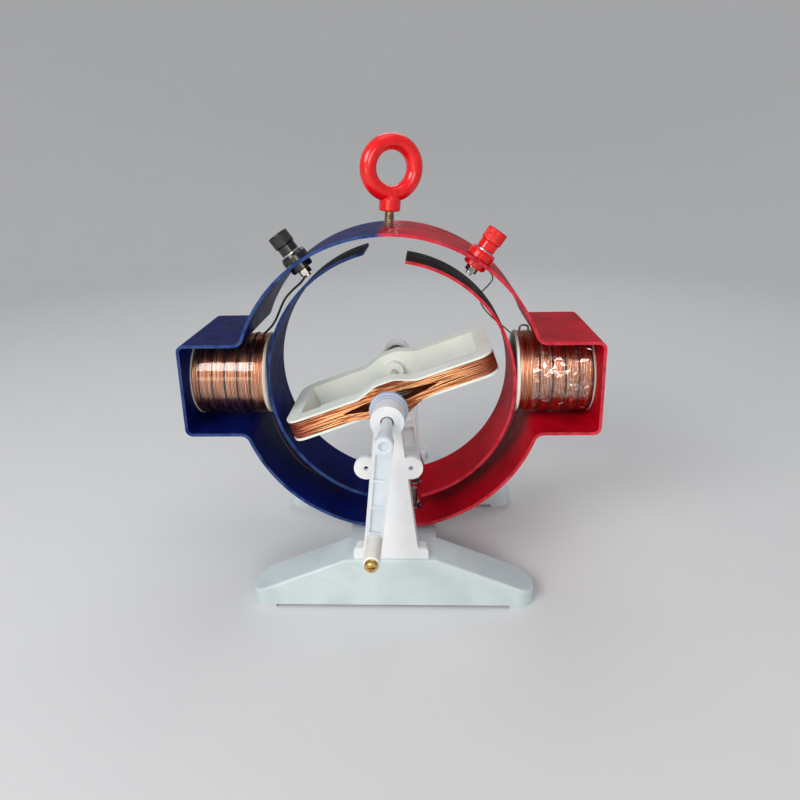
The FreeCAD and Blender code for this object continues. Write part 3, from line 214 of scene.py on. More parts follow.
# %% [markdown]
# ## Moulded plastic
#
# Mouldings are never one flat colour. Resin flows into the mould and leaves soft cloudy streaks,
# the tool's spark-eroded skin gives a fine grain, and hands leave a slightly shinier or duller
# patch here and there. Three noises of different sizes do that. The crank is milky: light goes a
# few millimetres into it, so its shaded sides stay pale.

# %% Mix the moulded plastics
def moulded_plastic(name, light, shade, roughness, soil=0.0):
    """Cloudy resin of two close colours, with a fine grain and, where it is handled, soil marks."""
    finish = Finish(name, roughness)
    finish.shader.inputs["IOR"].default_value = 1.49
    clouds = finish.between(finish.noise(0.030, 4, distortion=0.6), 0.35, 0.70)
    resin = finish.mix(clouds, paint_chip(*light), paint_chip(*shade))
    if soil:
        marks = finish.between(finish.noise(0.0035, 6, distortion=1.0), 0.62, 0.78)
        resin = finish.mix(finish.times(marks, soil), resin, paint_chip(168, 163, 155))
    finish.colour(resin)
    finish.roughness(finish.noise(0.012, 2), roughness - 0.07, roughness + 0.09)
    finish.bump(finish.noise(0.00035, 2), 0.00003, 0.55)
    finish.bump(finish.noise(0.006, 2), 0.00008, 0.35)
    return finish.material


white_plastic = moulded_plastic("white moulded plastic", (231, 233, 236), (221, 223, 228), 0.36, 0.22)
base_plastic = moulded_plastic("pale grey moulded base", (201, 213, 217), (188, 201, 206), 0.40, 0.18)
former_plastic = moulded_plastic("pale green moulded former", (234, 241, 233), (222, 231, 221), 0.38, 0.16)
crank_plastic = moulded_plastic("milky crank plastic", (214, 222, 229), (205, 214, 222), 0.33, 0.12)
for name, value in (("Weight", 0.6), ("Scale", 0.005), ("Radius", (1, 1, 1))):
    crank_plastic.node_tree.nodes["Principled BSDF"].inputs["Subsurface " + name].default_value = value
grip_plastic = moulded_plastic("ivory grip plastic", (236, 235, 228), (226, 225, 218), 0.36, 0.15)
pulley_plastic = moulded_plastic("grey blue pulley plastic", (186, 196, 214), (166, 178, 202), 0.38, 0.1)
bobbin_plastic = moulded_plastic("white bobbin plastic", (238, 235, 228), (224, 220, 211), 0.35, 0.16)
black_plastic = moulded_plastic("black post plastic", (17, 20, 23), (26, 29, 33), 0.17)
red_plastic = moulded_plastic("red post plastic", (222, 18, 16), (204, 10, 12), 0.17)
hub_plastic = moulded_plastic("brown commutator plastic", (74, 52, 38), (92, 66, 48), 0.42, 0.1)
print("plastics:", len([m for m in bpy.data.materials if "plastic" in m.name]))

# %% [markdown]
# ## Stoved paint on the steel
#
# The band and the pole shoes are sprayed steel. Stoved paint has a slight orange peel, a few specks
# of dust under it, and where two sprayed colours meet, the second one has drifted over the first.
# The meeting line is found with the X coordinate, roughened by noise, so it isn't ruled.

# %% Mix the paints
BLUE, BLUE_DEEP = paint_chip(7, 20, 92), paint_chip(4, 12, 70)
RED, RED_DEEP = paint_chip(182, 4, 30), paint_chip(154, 2, 22)
# paler paints for a painted highlight along the rims of the band and the shoes
BLUE_RIM_HIGHLIGHT, RED_RIM_HIGHLIGHT = paint_chip(88, 122, 180), paint_chip(238, 96, 112)
BAND_HALF_DEPTH, SHOE_HALF_DEPTH = 0.0384, 0.0209


def stoved(finish, paint):
    """Orange peel, dust specks and small rubbed places over a painted colour."""
    dust = finish.between(finish.noise(0.0009, 1), 0.78, 0.84)
    finish.colour(finish.mix(finish.times(dust, 0.30), paint, paint_chip(190, 190, 200)))
    finish.shader.inputs["Specular IOR Level"].default_value = 0.06
    finish.roughness(finish.noise(0.009, 3), 0.40, 0.50)
    finish.bump(finish.noise(0.0016, 2), 0.00005, 0.22)
    return finish.material


def painted_highlight_on_rims(finish, paint, highlight_colour, reach):
    """Painted highlight: the paint is paler in patches along the front and back rims, where edges catch the
    light.
    """
    from_middle = sum_node(finish.tree, "ABSOLUTE", parts_of(finish.tree, finish.place)["Y"])
    rim = finish.between(from_middle, reach - 0.0005, reach)
    patchy = finish.times(rim, finish.between(finish.noise(0.006, 4), 0.15, 0.75))
    return finish.mix(finish.times(patchy, 0.42), paint, highlight_colour)


def two_colour_paint(name):
    """Blue to the left of the meeting line, red to the right, with red mist over the blue's end, a painted
    reflection as pale streaks on the red just right of the line, and a painted highlight on the rims.
    """
    finish = Finish(name, 0.30)
    tree = finish.tree
    shade = finish.between(finish.noise(0.022, 3), 0.35, 0.7)
    blue = finish.mix(shade, BLUE, BLUE_DEEP)
    red = finish.mix(shade, RED, RED_DEEP)
    wander = finish.times(sum_node(tree, "SUBTRACT", finish.noise(0.004, 4), 0.5), 0.005)
    edge = sum_node(tree, "ADD", parts_of(tree, finish.place)["X"], wander)
    speckle = finish.between(finish.noise(0.0006, 2), 0.40, 0.60)
    mist = finish.times(finish.between(edge, -0.0075, -0.0025), speckle)
    cover = sum_node(tree, "MAXIMUM", mist, finish.between(edge, -0.0035, -0.0015))
    # painted reflection: pale pink streaks on the red, from the meeting line to about 10 mm right of it,
    # beside the eye's stud
    reflection_strip = finish.times(finish.between(edge, 0.010, 0.0045), finish.between(edge, -0.0005, 0.002))
    pale = finish.times(reflection_strip, finish.between(finish.noise(0.003, 5, (1, 0.25, 1)), 0.40, 0.62))
    red = finish.mix(finish.times(pale, 0.55), red, paint_chip(222, 150, 160))
    blue = painted_highlight_on_rims(finish, blue, BLUE_RIM_HIGHLIGHT, BAND_HALF_DEPTH)
    red = painted_highlight_on_rims(finish, red, RED_RIM_HIGHLIGHT, BAND_HALF_DEPTH)
    return stoved(finish, finish.mix(cover, blue, red))


band_paint = two_colour_paint("blue and red stoved paint")
print("paint on the band:", band_paint.name)

# %% [markdown]
# The outsides of the pole shoes were left in brown primer, darkened as painted shade of the narrow
# gap under the band, and only their rims and inner faces got the colour. Which face a point lies on
# is told by its distance from the shoe's own centre.

# %% Paint the pole shoes inside, prime and shade them outside
def shoe_paint(name, main, deep, highlight_colour, centre_x, centre_z, bend):
    """Colour on the inner face, which has the radius bend about the centre, and outside a dark primer that is
    also painted shade.
    """
    finish = Finish(name, 0.34)
    tree = finish.tree
    shade = finish.between(finish.noise(0.022, 3), 0.35, 0.7)
    paint = painted_highlight_on_rims(finish, finish.mix(shade, main, deep), highlight_colour, SHOE_HALF_DEPTH)
    # the outer faces' dark brown is primer, darkened further as painted shade of the gap under the band
    primer_and_painted_shade = finish.mix(finish.noise(0.010, 4), paint_chip(24, 15, 13), paint_chip(44, 24, 18))
    centred = vector_node(tree, "SUBTRACT", finish.place, (centre_x, 0, centre_z))
    flat = vector_node(tree, "MULTIPLY", centred, (1, 0, 1))
    distance = vector_node(tree, "LENGTH", flat, result="Value")
    from_middle = sum_node(tree, "ABSOLUTE", parts_of(tree, finish.place)["Y"])
    inside_rim = finish.between(from_middle, SHOE_HALF_DEPTH + 0.0003, SHOE_HALF_DEPTH)
    outer = finish.times(finish.between(distance, bend + 0.0017, bend + 0.0019), inside_rim)
    stoved(finish, finish.mix(outer, paint, primer_and_painted_shade))
    finish.shader.inputs["Specular IOR Level"].default_value = 0.03
    return finish.material


left_shoe_paint = shoe_paint("blue pole shoe", BLUE, BLUE_DEEP, BLUE_RIM_HIGHLIGHT, 0.0062, 0.1354, 0.0872)
right_shoe_paint = shoe_paint("red pole shoe", RED, RED_DEEP, RED_RIM_HIGHLIGHT, -0.0023, 0.1318, 0.0833)
print("paints on the shoes:", left_shoe_paint.name, "/", right_shoe_paint.name)

# %% [markdown]
# ## Metals
#
# Enamelled copper is orange metal under a clear coat, with a redder or browner turn here and there.
# Plated steel, bronze and brass differ in colour and in how fine their turning marks are. A bright
# metal only looks like one when it has something to reflect, which the lamps and the room give.

# %% Mix the metals
def metal(name, light, dark, roughness, patch=0.004, marks=(1, 1, 1), tarnish=0.35, turn=0.0):
    """Two tones of a metal in patches, which marks can stretch into streaks."""
    finish = Finish(name, roughness, metallic=1.0)
    tone = finish.between(finish.noise(patch, 4, marks, 0.4, turn), 0.5 - tarnish, 0.5 + tarnish)
    finish.colour(finish.mix(tone, paint_chip(*light), paint_chip(*dark)))
    finish.roughness(finish.noise(0.0016, 3, marks), max(roughness - 0.07, 0.06), roughness + 0.10)
    finish.bump(finish.noise(0.0003, 2, marks), 0.00001, 0.5)
    return finish.material


SHAFT = Vector((0, 0, 0.128))
ROTOR_TILT = math.radians(-19.7)
copper_wire = metal("enamelled copper wire", (255, 206, 172), (206, 128, 94), 0.26, 0.0011,
                    (1, 0.04, 0.04), 0.18)
copper_strand = metal("enamelled copper on the armature", (246, 190, 138), (146, 70, 40), 0.36, 0.0009,
                      (0.025, 0.3, 1), 0.14, -ROTOR_TILT)
# dark copper as painted shade: it stands for the shade under and between the turns
painted_shade_copper = metal("copper between the turns", (92, 40, 24), (50, 22, 16), 0.45)
# the commutator's copper is darkened as painted shade, for the shade it sits in behind the armature
shaded_copper_segment = metal("browned copper segment", (132, 92, 72), (92, 64, 52), 0.40)
plated_steel = metal("plated steel", (206, 207, 210), (168, 168, 170), 0.24)
dull_steel = metal("dull steel", (150, 148, 146), (104, 100, 98), 0.34)
band_bronze = metal("bearing bronze", (150, 116, 74), (98, 74, 50), 0.38)
brass = metal("brass", (246, 216, 146), (168, 128, 64), 0.15, 0.002, tarnish=0.25)
spring_bronze = metal("spring bronze", (228, 196, 150), (196, 156, 108), 0.34, marks=(1, 1, 0.2))
solder = metal("solder", (196, 198, 202), (150, 152, 158), 0.30)
tinned_wire = metal("tinned wire", (150, 150, 148), (92, 92, 92), 0.36)


def paint_shade_on_armature_ends(material):
    """Painted shade: the copper turns darker and redder, and less metallic, towards the armature's ends, where
    the wire bends round the former.
    """
    tree = material.node_tree
    shader = tree.nodes["Principled BSDF"]
    place = tree.nodes.new("ShaderNodeTexCoord").outputs["Object"]
    from_shaft = vector_node(tree, "MULTIPLY", vector_node(tree, "SUBTRACT", place, SHAFT), (1, 0, 1))
    end = ramp_between(tree, vector_node(tree, "LENGTH", from_shaft, result="Value"), 0.042, 0.071)
    plain = shader.inputs["Base Color"].links[0].from_socket
    # painted shade: towards the ends the copper is mixed to dark red
    shaded_ends = mix_colours(tree, sum_node(tree, "MULTIPLY", end, 0.85), plain, paint_chip(140, 50, 34))
    shine = sum_node(tree, "SUBTRACT", 1.0, sum_node(tree, "MULTIPLY", end, 0.4))
    plug(tree, (shader.inputs["Base Color"], shader.inputs["Metallic"]), (shaded_ends, shine))


paint_shade_on_armature_ends(copper_strand)
shaders = [m.node_tree.nodes["Principled BSDF"] for m in bpy.data.materials]
print("metals:", len([shader for shader in shaders if shader.inputs["Metallic"].default_value == 1]))

# %% [markdown]
# The lifting eye is red over most of its height and bare on its thread, and it is one casting, so
# its material changes at the collar's lower face.

# %% Mix the finish of the lifting eye
def eye_finish(collar_foot):
    """Red above the height of the collar's foot, yellowed steel below it."""
    finish = Finish("red gloss over a bare thread", 0.22, coat=0.25)
    height = parts_of(finish.tree, finish.place)["Z"]
    painted = finish.between(height, collar_foot - 0.0001, collar_foot + 0.0001)
    shade = finish.between(finish.noise(0.014, 3), 0.3, 0.7)
    red = finish.mix(shade, paint_chip(236, 12, 22), paint_chip(216, 6, 14))
    bare = finish.mix(finish.noise(0.0016, 4), paint_chip(186, 160, 134), paint_chip(112, 88, 70))
    finish.colour(finish.mix(painted, bare, red))
    shine = sum_node(finish.tree, "SUBTRACT", 1.0, painted, clamp=True)
    finish.tree.links.new(shine, finish.shader.inputs["Metallic"])
    finish.roughness(finish.noise(0.006, 3), 0.16, 0.30)
    finish.bump(finish.noise(0.0045, 3), 0.00022, 0.5)
    finish.bump(finish.noise(0.0009, 2), 0.00003, 0.4)
    return finish.material


eye_paint = eye_finish(0.2452)
print("the eye's finish:", eye_paint.name)

# %% [markdown]
# ## Dressing the CAD pieces
#
# A piece whose CAD shape is right only needs its finish. A short table says which finish goes on
# which piece, and one loop puts it there.

# %% Put a finish on every CAD piece
CAD_FINISHES = {
    white_plastic: ["front_upright", "rear_upright"],
    crank_plastic: ["crank_arm"],
    grip_plastic: ["crank_grip"],
    base_plastic: ["base"],
    former_plastic: ["armature_frame"],
    pulley_plastic: ["drive_pulley"],
    bobbin_plastic: ["field_bobbin_left", "field_bobbin_right"],
    black_plastic: ["post_collar_left", "post_insulator_left"],
    red_plastic: ["post_collar_right", "post_insulator_right"],
    hub_plastic: ["commutator_hub"],
    band_paint: ["yoke_band"],
    left_shoe_paint: ["pole_shoe_left"],
    right_shoe_paint: ["pole_shoe_right"],
    eye_paint: ["eye_bolt"],
    # the winding blocks under the wound wire: dark copper as painted shade between the turns
    painted_shade_copper: ["field_winding_left", "field_winding_right", "armature_winding"],
    shaded_copper_segment: ["commutator_segment_a", "commutator_segment_b"],
    plated_steel: ["shaft", "post_stud_left", "post_stud_right", "post_nut_left", "post_tag_left",
                   "post_tag_right", "shaft_clip", "upright_screws", "brush_screws", "ring_washers"],
    dull_steel: ["post_nut_right", "field_core_left", "field_core_right", "core_screws", "ring_bolts",
                 "ring_nuts", "eye_nut"],
    band_bronze: ["front_bearing_bush", "rear_bearing_bush"],
    brass: ["grip_screw", "cap_insert_left", "cap_insert_right"],
    spring_bronze: ["brush_left", "brush_right"],
}
for material, nodes in CAD_FINISHES.items():
    for node in nodes:
        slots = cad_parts[node].data.materials
        slots.clear()
        slots.append(material)
print("dressed", sum(len(nodes) for nodes in CAD_FINISHES.values()), "CAD pieces")

# %% [markdown]
# ## Growing pieces with Geometry Nodes
#
# What repeats or follows a path is grown by a node tree with named sizes. The tree hangs on a
# helper object as a modifier, its result is copied out as a plain mesh, and the helper is thrown
# away. The mesh is then turned into place, so the finished object stays at the origin.

# %% Grow a tree and keep its mesh
def new_tree(name, **sizes):
    """An empty Geometry Nodes tree with an input for a start shape, each size and the material."""
    tree = bpy.data.node_groups.new(name, "GeometryNodeTree")
    tree.interface.new_socket("Geometry", in_out="INPUT", socket_type="NodeSocketGeometry")
    for size, default in sizes.items():
        kind = "NodeSocketInt" if isinstance(default, int) else "NodeSocketFloat"
        socket = tree.interface.new_socket(size.replace("_", " "), in_out="INPUT", socket_type=kind)
        socket.default_value = default
    tree.interface.new_socket("Material", in_out="INPUT", socket_type="NodeSocketMaterial")
    tree.interface.new_socket("Geometry", in_out="OUTPUT", socket_type="NodeSocketGeometry")
    return tree, tree.nodes.new("NodeGroupInput").outputs


def swept_wire(tree, given, line, sides, **more):
    """A line swept with a round section of the wire's radius."""
    section = add_node(tree, "GeometryNodeCurvePrimitiveCircle", Resolution=sides,
                       Radius=given["Wire radius"])
    swept = add_node(tree, "GeometryNodeCurveToMesh", Curve=line, Profile_Curve=section.outputs[0], **more)
    return swept.outputs[0]


def scaled(tree, wire, scale):
    """A vector times a number."""
    return add_node(tree, "ShaderNodeVectorMath", {"operation": "SCALE"}, Vector=wire, Scale=scale).outputs[0]


def moved(tree, geometry, **where):
    """The geometry with every point given a Position or pushed by an Offset."""
    return add_node(tree, "GeometryNodeSetPosition", Geometry=geometry, **where).outputs[0]


def close_tree(tree, given, geometry, smooth=True):
    """The tree's last nodes: real geometry, smooth or flat shading and the material."""
    real = add_node(tree, "GeometryNodeRealizeInstances", Geometry=geometry)
    shaded = add_node(tree, "GeometryNodeSetShadeSmooth", Geometry=real.outputs[0], Shade_Smooth=smooth)
    coated = add_node(tree, "GeometryNodeSetMaterial", Geometry=shaded.outputs[0],
                      Material=given["Material"])
    tree.links.new(coated.outputs[0], tree.nodes.new("NodeGroupOutput").inputs[0])
    return tree


def point_outwards(mesh):
    """Turns the faces over if the closed shapes of a mesh came out inside out."""
    shell = bmesh.new()
    shell.from_mesh(mesh)
    if shell.calc_volume(signed=True) < 0:
        bmesh.ops.reverse_faces(shell, faces=shell.faces)
    shell.to_mesh(mesh)
    shell.free()


def stand_piece(name, mesh, body, replaces=()):
    """A finished object from a mesh that is already in its place."""
    piece = bpy.data.objects.new(name, mesh)
    scene.collection.objects.link(piece)
    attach(piece, body)
    if replaces:
        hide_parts(*replaces)
    print(f"{name}: {len(mesh.polygons)} faces, on {body}")
    return piece


def plain_copy(helper):
    """The evaluated shape of a helper object as a plain mesh. The helper is thrown away."""
    scene.collection.objects.link(helper)
    now = bpy.context.evaluated_depsgraph_get()
    shape = helper.evaluated_get(now)
    mesh = bpy.data.meshes.new_from_object(shape, preserve_all_data_layers=True, depsgraph=now)
    bpy.data.objects.remove(helper)
    return mesh


def grow(tree, material, sizes, place=Matrix(), start=None):
    """The mesh that a tree makes from these sizes, turned into place."""
    helper = bpy.data.objects.new("helper", start or bpy.data.meshes.new("helper"))
    grower = helper.modifiers.new("grow", "NODES")
    grower.node_group = tree
    given = {**sizes, "Material": material}
    for socket in tree.interface.items_tree:
        if socket.in_out == "INPUT" and socket.name in given:
            grower[socket.identifier] = given[socket.name]
    mesh = plain_copy(helper)
    mesh.transform(place)
    point_outwards(mesh)
    return mesh


def together(name, *meshes):
    """Several meshes as one, with their materials kept."""
    joined = bmesh.new()
    materials = []
    for mesh in meshes:
        offset = {}
        for number, material in enumerate(mesh.materials):
            if material not in materials:
                materials.append(material)
            offset[number] = materials.index(material)
        before = len(joined.faces)
        joined.from_mesh(mesh)
        joined.faces.ensure_lookup_table()
        for face in joined.faces[before:]:
            face.material_index = offset.get(face.material_index, 0)
    whole = bpy.data.meshes.new(name)
    joined.to_mesh(whole)
    joined.free()
    for material in materials:
        whole.materials.append(material)
    return whole


print("growing helpers ready")

# %% [markdown]
# ## The wound wire of the field coils
#
# Each coil is one long wire, wound side by side. A cylinder with a striped picture would look
# painted, so a real wire is wound: a spiral curve, swept with a small round section. A little noise
# pushes the turns about, because no coil is wound perfectly.

# %% Build the tree of a wound wire
def wound_wire_tree():
    tree, given = new_tree("wound wire", Turns=50.0, Coil_radius=0.027, Length=0.047, Wire_radius=0.0004,
                           Points_per_turn=36, Sides=6, Unevenness=0.0001, Waviness=60.0, Seed=0.0)
    radius = given["Coil radius"]
    spiral = add_node(tree, "GeometryNodeCurveSpiral", Resolution=given["Points per turn"],
                      Start_Radius=radius, End_Radius=radius, Rotations=given["Turns"], Height=given["Length"])
    where = add_node(tree, "GeometryNodeInputPosition").outputs[0]
    drift = add_node(tree, "ShaderNodeTexNoise", {"noise_dimensions": "4D"}, Vector=where, W=given["Seed"],
                     Scale=given["Waviness"], Detail=2.0)
    centred = vector_node(tree, "SUBTRACT", drift.outputs["Color"], (0.5, 0.5, 0.5))
    uneven = moved(tree, spiral.outputs[0], Offset=scaled(tree, centred, given["Unevenness"]))
    return close_tree(tree, given, swept_wire(tree, given, uneven, given["Sides"], Fill_Caps=True))


wound_wire = wound_wire_tree()
RING_CENTRE = 0.1354
COIL_START, COIL_END, HALF_WIRE = 0.08457, 0.13193, 0.00045


def along_coil(side, start):
    """Turns a spiral that grows up Z so that it lies along X, from start outwards."""
    way = -1 if side == "left" else 1
    return Matrix.Translation((way * start, 0, RING_CENTRE)) @ Matrix.Rotation(way * math.pi / 2, 4, "Y")


for side, seed in (("left", 3.0), ("right", 8.0)):
    turns = grow(wound_wire, copper_wire, {
        "Turns": 50.5, "Coil radius": 0.02722, "Length": COIL_END - COIL_START - 2 * HALF_WIRE,
        "Wire radius": 0.00043, "Points per turn": 48, "Sides": 6, "Unevenness": 0.00055, "Waviness": 110.0,
        "Seed": seed,
    }, along_coil(side, COIL_START + HALF_WIRE))
    turns.name = f"field_wire_{side}"
    stand_piece(f"field_wire_{side}", turns, "stand")

# %% [markdown]
# ## The black tie thread
#
# A black thread is laid over each winding in five separate loops to hold it. Each loop is one turn
# of the same tree, a thicker and softer round, with a radius just above the copper.

# %% Lay the tie threads
thread_finish = Finish("black tie thread", 0.62)
fray = thread_finish.noise(0.0005, 3, (1, 0.3, 0.3))
thread_finish.colour(thread_finish.mix(fray, paint_chip(6, 7, 9), paint_chip(18, 19, 23)))
thread_finish.bump(fray, 0.00008, 0.7)
black_thread = thread_finish.material

TIE_PITCH = 0.0085
for side, first, seed in (("left", 0.0928, 5.0), ("right", 0.0965, 6.0)):
    loops = [grow(wound_wire, black_thread, {
        "Turns": 1.0, "Coil radius": 0.02770, "Length": 0.0010, "Wire radius": 0.00052, "Points per turn": 72,
        "Sides": 8, "Unevenness": 0.0009, "Waviness": 90.0, "Seed": seed + n,
    }, along_coil(side, first + n * TIE_PITCH)) for n in range(5)]
    stand_piece(f"tie_thread_{side}", together(f"tie_thread_{side}", *loops), "stand")

# %% [markdown]
# ## The armature's two bundles of wire
#
# The armature's wire runs round a long former. Each bundle starts flat at the ends, climbs over the
# hump in the middle and leaves a lens-shaped gap for the shaft. A rounded rectangle is copied once
# for each row, and a rule lifts every point to its row: the share of the way from gap to flange.

# %% Build the tree of an armature bundle
def armature_tree():
    tree, given = new_tree("armature bundle", Half_length=0.0719, Half_width=0.0338, Corner=0.0094, Rows=5,
                           Row_shift=0.5, Wire_radius=0.0006, Flange=0.0060, Hump=0.0050, Gap=0.0034,
                           Gap_half_length=0.034, Bulge=0.0010, Droop=0.0, Unevenness=0.0004, Side=1.0,
                           Seed=0.0)
    plus, minus, times = sums(tree)
    outline = add_node(tree, "GeometryNodeCurvePrimitiveQuadrilateral",
                       Width=times(given["Half length"], 2.0), Height=times(given["Half width"], 2.0))
    rounded = add_node(tree, "GeometryNodeFilletCurve", {"mode": "POLY"}, Curve=outline.outputs[0],
                       Radius=given["Corner"], Count=8)
    fine = add_node(tree, "GeometryNodeResampleCurve", {"mode": "LENGTH"}, Curve=rounded.outputs[0],
                    Length=0.0020)
    rows = add_node(tree, "GeometryNodeDuplicateElements", {"domain": "SPLINE"}, Geometry=fine.outputs[0],
                    Amount=given["Rows"])
    row = rows.outputs["Duplicate Index"]
    where = add_node(tree, "GeometryNodeInputPosition").outputs[0]
    parts = parts_of(tree, where)
    far = sum_node(tree, "ABSOLUTE", parts["X"])

    # the height of this row, between the gap for the shaft and the flange with its hump
    flange = plus(given["Flange"], times(ramp_between(tree, far, 0.0215, 0.0045), given["Hump"]))
    share = sum_node(tree, "DIVIDE", far, given["Gap half length"])
    gap = times(minus(1.0, times(share, share), clamp=True), given["Gap"])
    step = sum_node(tree, "DIVIDE", plus(row, given["Row shift"]), given["Rows"])
    lift = plus(gap, times(minus(flange, gap), step))

    # every row wanders a little in its own way
    apart = add_node(tree, "ShaderNodeCombineXYZ", X=times(row, 3.17), Y=given["Seed"],
                     Z=times(given["Side"], 4.0))
    seen = vector_node(tree, "ADD", vector_node(tree, "MULTIPLY", where, (34, 34, 34)), apart.outputs[0])
    drift = add_node(tree, "ShaderNodeTexNoise", Vector=seen, Scale=1.0, Detail=0.0)
    centred = vector_node(tree, "SUBTRACT", drift.outputs["Color"], (0.5, 0.5, 0.5))
    push = parts_of(tree, centred)
    wander = times(push["X"], times(given["Unevenness"], 4.0))
    middle = ramp_between(tree, far, 0.036, 0.008)
    droop = times(times(middle, step), given["Droop"])
    height = times(plus(plus(lift, droop), wander), given["Side"])
    swell = plus(1.0, times(push["Y"], 0.008))
    outwards = plus(1.0, times(middle, times(given["Bulge"], 30.0)))
    spot = add_node(tree, "ShaderNodeCombineXYZ", X=times(parts["X"], swell),
                    Y=times(times(parts["Y"], swell), outwards), Z=height)
    placed = moved(tree, rows.outputs[0], Position=spot.outputs[0])
    return close_tree(tree, given, swept_wire(tree, given, placed, 6))


armature_bundle = armature_tree()
ON_ARMATURE = Matrix.Translation(SHAFT) @ Matrix.Rotation(ROTOR_TILT, 4, "Y")
LAYERS = (  # finish, depth, row shift, wire radius, gap, half length of the gap, seed
    (copper_strand, 0.0, 0.5, 0.00042, 0.0034, 0.034, 1.0),
    (copper_strand, 0.0003, 0.98, 0.00038, 0.0031, 0.034, 7.0),
    (copper_strand, 0.0, 0.2, 0.00030, 0.0033, 0.034, 12.0),
    # the deepest layer: dark copper as painted shade in the gap round the shaft
    (painted_shade_copper, 0.0012, 0.4, 0.00045, 0.0020, 0.0065, 15.0),
)
layers = []
for side, bulge, droop in ((1.0, 0.0007, 0.0), (-1.0, 0.0020, 0.0013)):
    for material, depth, shift, radius, gap, gap_reach, seed in LAYERS:
        layers.append(grow(armature_bundle, material, {
            "Half length": 0.07185 - depth, "Half width": 0.03378 - depth, "Rows": 6, "Row shift": shift,
            "Wire radius": radius, "Side": side, "Seed": seed, "Unevenness": 0.00046, "Gap": gap,
            "Gap half length": gap_reach, "Bulge": bulge, "Droop": droop}, ON_ARMATURE))
stand_piece("armature_wire", together("armature_wire", *layers), "rotor")

# %% [markdown]
# Each end of the armature's wire goes to one half of the commutator. The two ends are short tubes
# round a smooth line, from the winding over the hub's rim to the copper, with a bead of solder.

# %% Bend the two wire ends and solder them
def smooth_line(name, points, radius, material, steps):
    """A round wire along a smooth line through the air. The points are in millimetres."""
    line = bpy.data.curves.new(name, "CURVE")
    line.dimensions = "3D"
    line.bevel_depth = radius
    line.bevel_resolution = 3
    line.resolution_u = steps
    line.use_fill_caps = True
    spline = line.splines.new("NURBS")
    spline.points.add(len(points) - 1)
    for point, (x, y, z) in zip(spline.points, points):
        point.co = (x * MM, y * MM, z * MM, 1)
    spline.order_u = 3
    spline.use_endpoint_u = True
    line.materials.append(material)
    return bpy.data.objects.new(name, line)


def tube_along(points, radius, material):
    """The same wire as a plain mesh."""
    return plain_copy(smooth_line("tube", points, radius, material, 8))


def solder_bead(centre, size, squash=(1, 1, 0.6)):
    """A lump of solder: a ball pulled out of round, because it set as it ran."""
    ball = bmesh.new()
    bmesh.ops.create_icosphere(ball, subdivisions=4, radius=size * MM)
    for corner in ball.verts:
        swell = 1 + 0.35 * noise.noise(corner.co * 1600 + Vector(centre))
        corner.co = corner.co * Vector(squash) * swell + Vector(centre) * MM
    for face in ball.faces:
        face.smooth = True
    mesh = bpy.data.meshes.new("bead")
    ball.to_mesh(mesh)
    ball.free()
    mesh.materials.append(solder)
    return mesh


ends = []
for way in (1, -1):
    bends = [(13, 34.2, 3.4), (11, 35.4, 4.2), (7.5, 37.2, 6.6), (4, 39.4, 9.2), (1.6, 41.0, 9.3),
             (0.8, 42.2, 8.1)]
    ends.append(tube_along([(way * x, y, way * z) for x, y, z in bends], 0.00042, copper_strand))
    ends.append(solder_bead((way * 1.0, 41.7, way * 8.2), 0.85, (1, 0.9, 0.5)))
wire_ends = together("rotor_wire_ends", *ends)
wire_ends.transform(ON_ARMATURE)
stand_piece("rotor_wire_ends", wire_ends, "rotor")

# %% [markdown]
# ## Threads on the studs and bolts
#
# A thread is a ridge that climbs round a rod. The same wound wire makes it: one turn for each pitch
# and a three-sided section, half sunk in the rod. It is only cut where the thread can be seen.

# %% Cut the visible threads
def thread_ridge(radius, pitch, length, material, place):
    return grow(wound_wire, material, {
        "Turns": length / pitch, "Coil radius": radius - 0.08 * pitch, "Length": length,
        "Wire radius": 0.36 * pitch, "Points per turn": 28, "Sides": 3, "Unevenness": 0.0, "Seed": 0.0,
    }, place)


M4_RADIUS, M4_PITCH = 0.002, 0.0007
EYE_FOOT = Matrix.Translation((0, 0, 0.2354)) @ Matrix.Rotation(math.radians(4.2), 4, "Y")
eye_thread = thread_ridge(0.003, 0.001, 0.0094, eye_paint, EYE_FOOT @ Matrix.Translation((0, 0, 0.0003)))
stand_piece("eye_thread", eye_thread, "stand")

POST_ANGLE, POST_FORWARD = math.radians(35), 0.022


def on_post(side):
    """The frame of a binding post, with Z along its stud and the band's outer face at 0."""
    angle = POST_ANGLE if side == "right" else -POST_ANGLE
    turn = Matrix.Rotation(angle, 4, "Y")
    return Matrix.Translation((0, -POST_FORWARD, RING_CENTRE)) @ turn @ Matrix.Translation((0, 0, 0.1))


for side in ("left", "right"):
    foot = on_post(side) @ Matrix.Translation((0, 0, -0.0120))
    ridge = thread_ridge(M4_RADIUS, M4_PITCH, 0.0016, plated_steel, foot)
    stand_piece(f"post_thread_{side}", ridge, "stand")

nut_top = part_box("ring_nuts")[1].z
bolt_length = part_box("ring_bolts")[1].z - nut_top - 0.0006
bolt_threads = []
for x in (-0.014, 0.014):
    for y in (-0.017, 0.017):
        foot = Matrix.Translation((x, y, nut_top + 0.0003))
        bolt_threads.append(thread_ridge(M4_RADIUS, M4_PITCH, bolt_length, dull_steel, foot))
stand_piece("ring_bolt_threads", together("ring_bolt_threads", *bolt_threads), "stand")

# %% [markdown]
# ## The knurled caps
#
# A cap is turned, so its outline is spun round the stud. The grip is knurled: grooves along it and
# grooves round it leave rows of small squares. The outline is spun in code, and a tree then presses
# the grooves in where the grip is, because the pattern follows a rule.

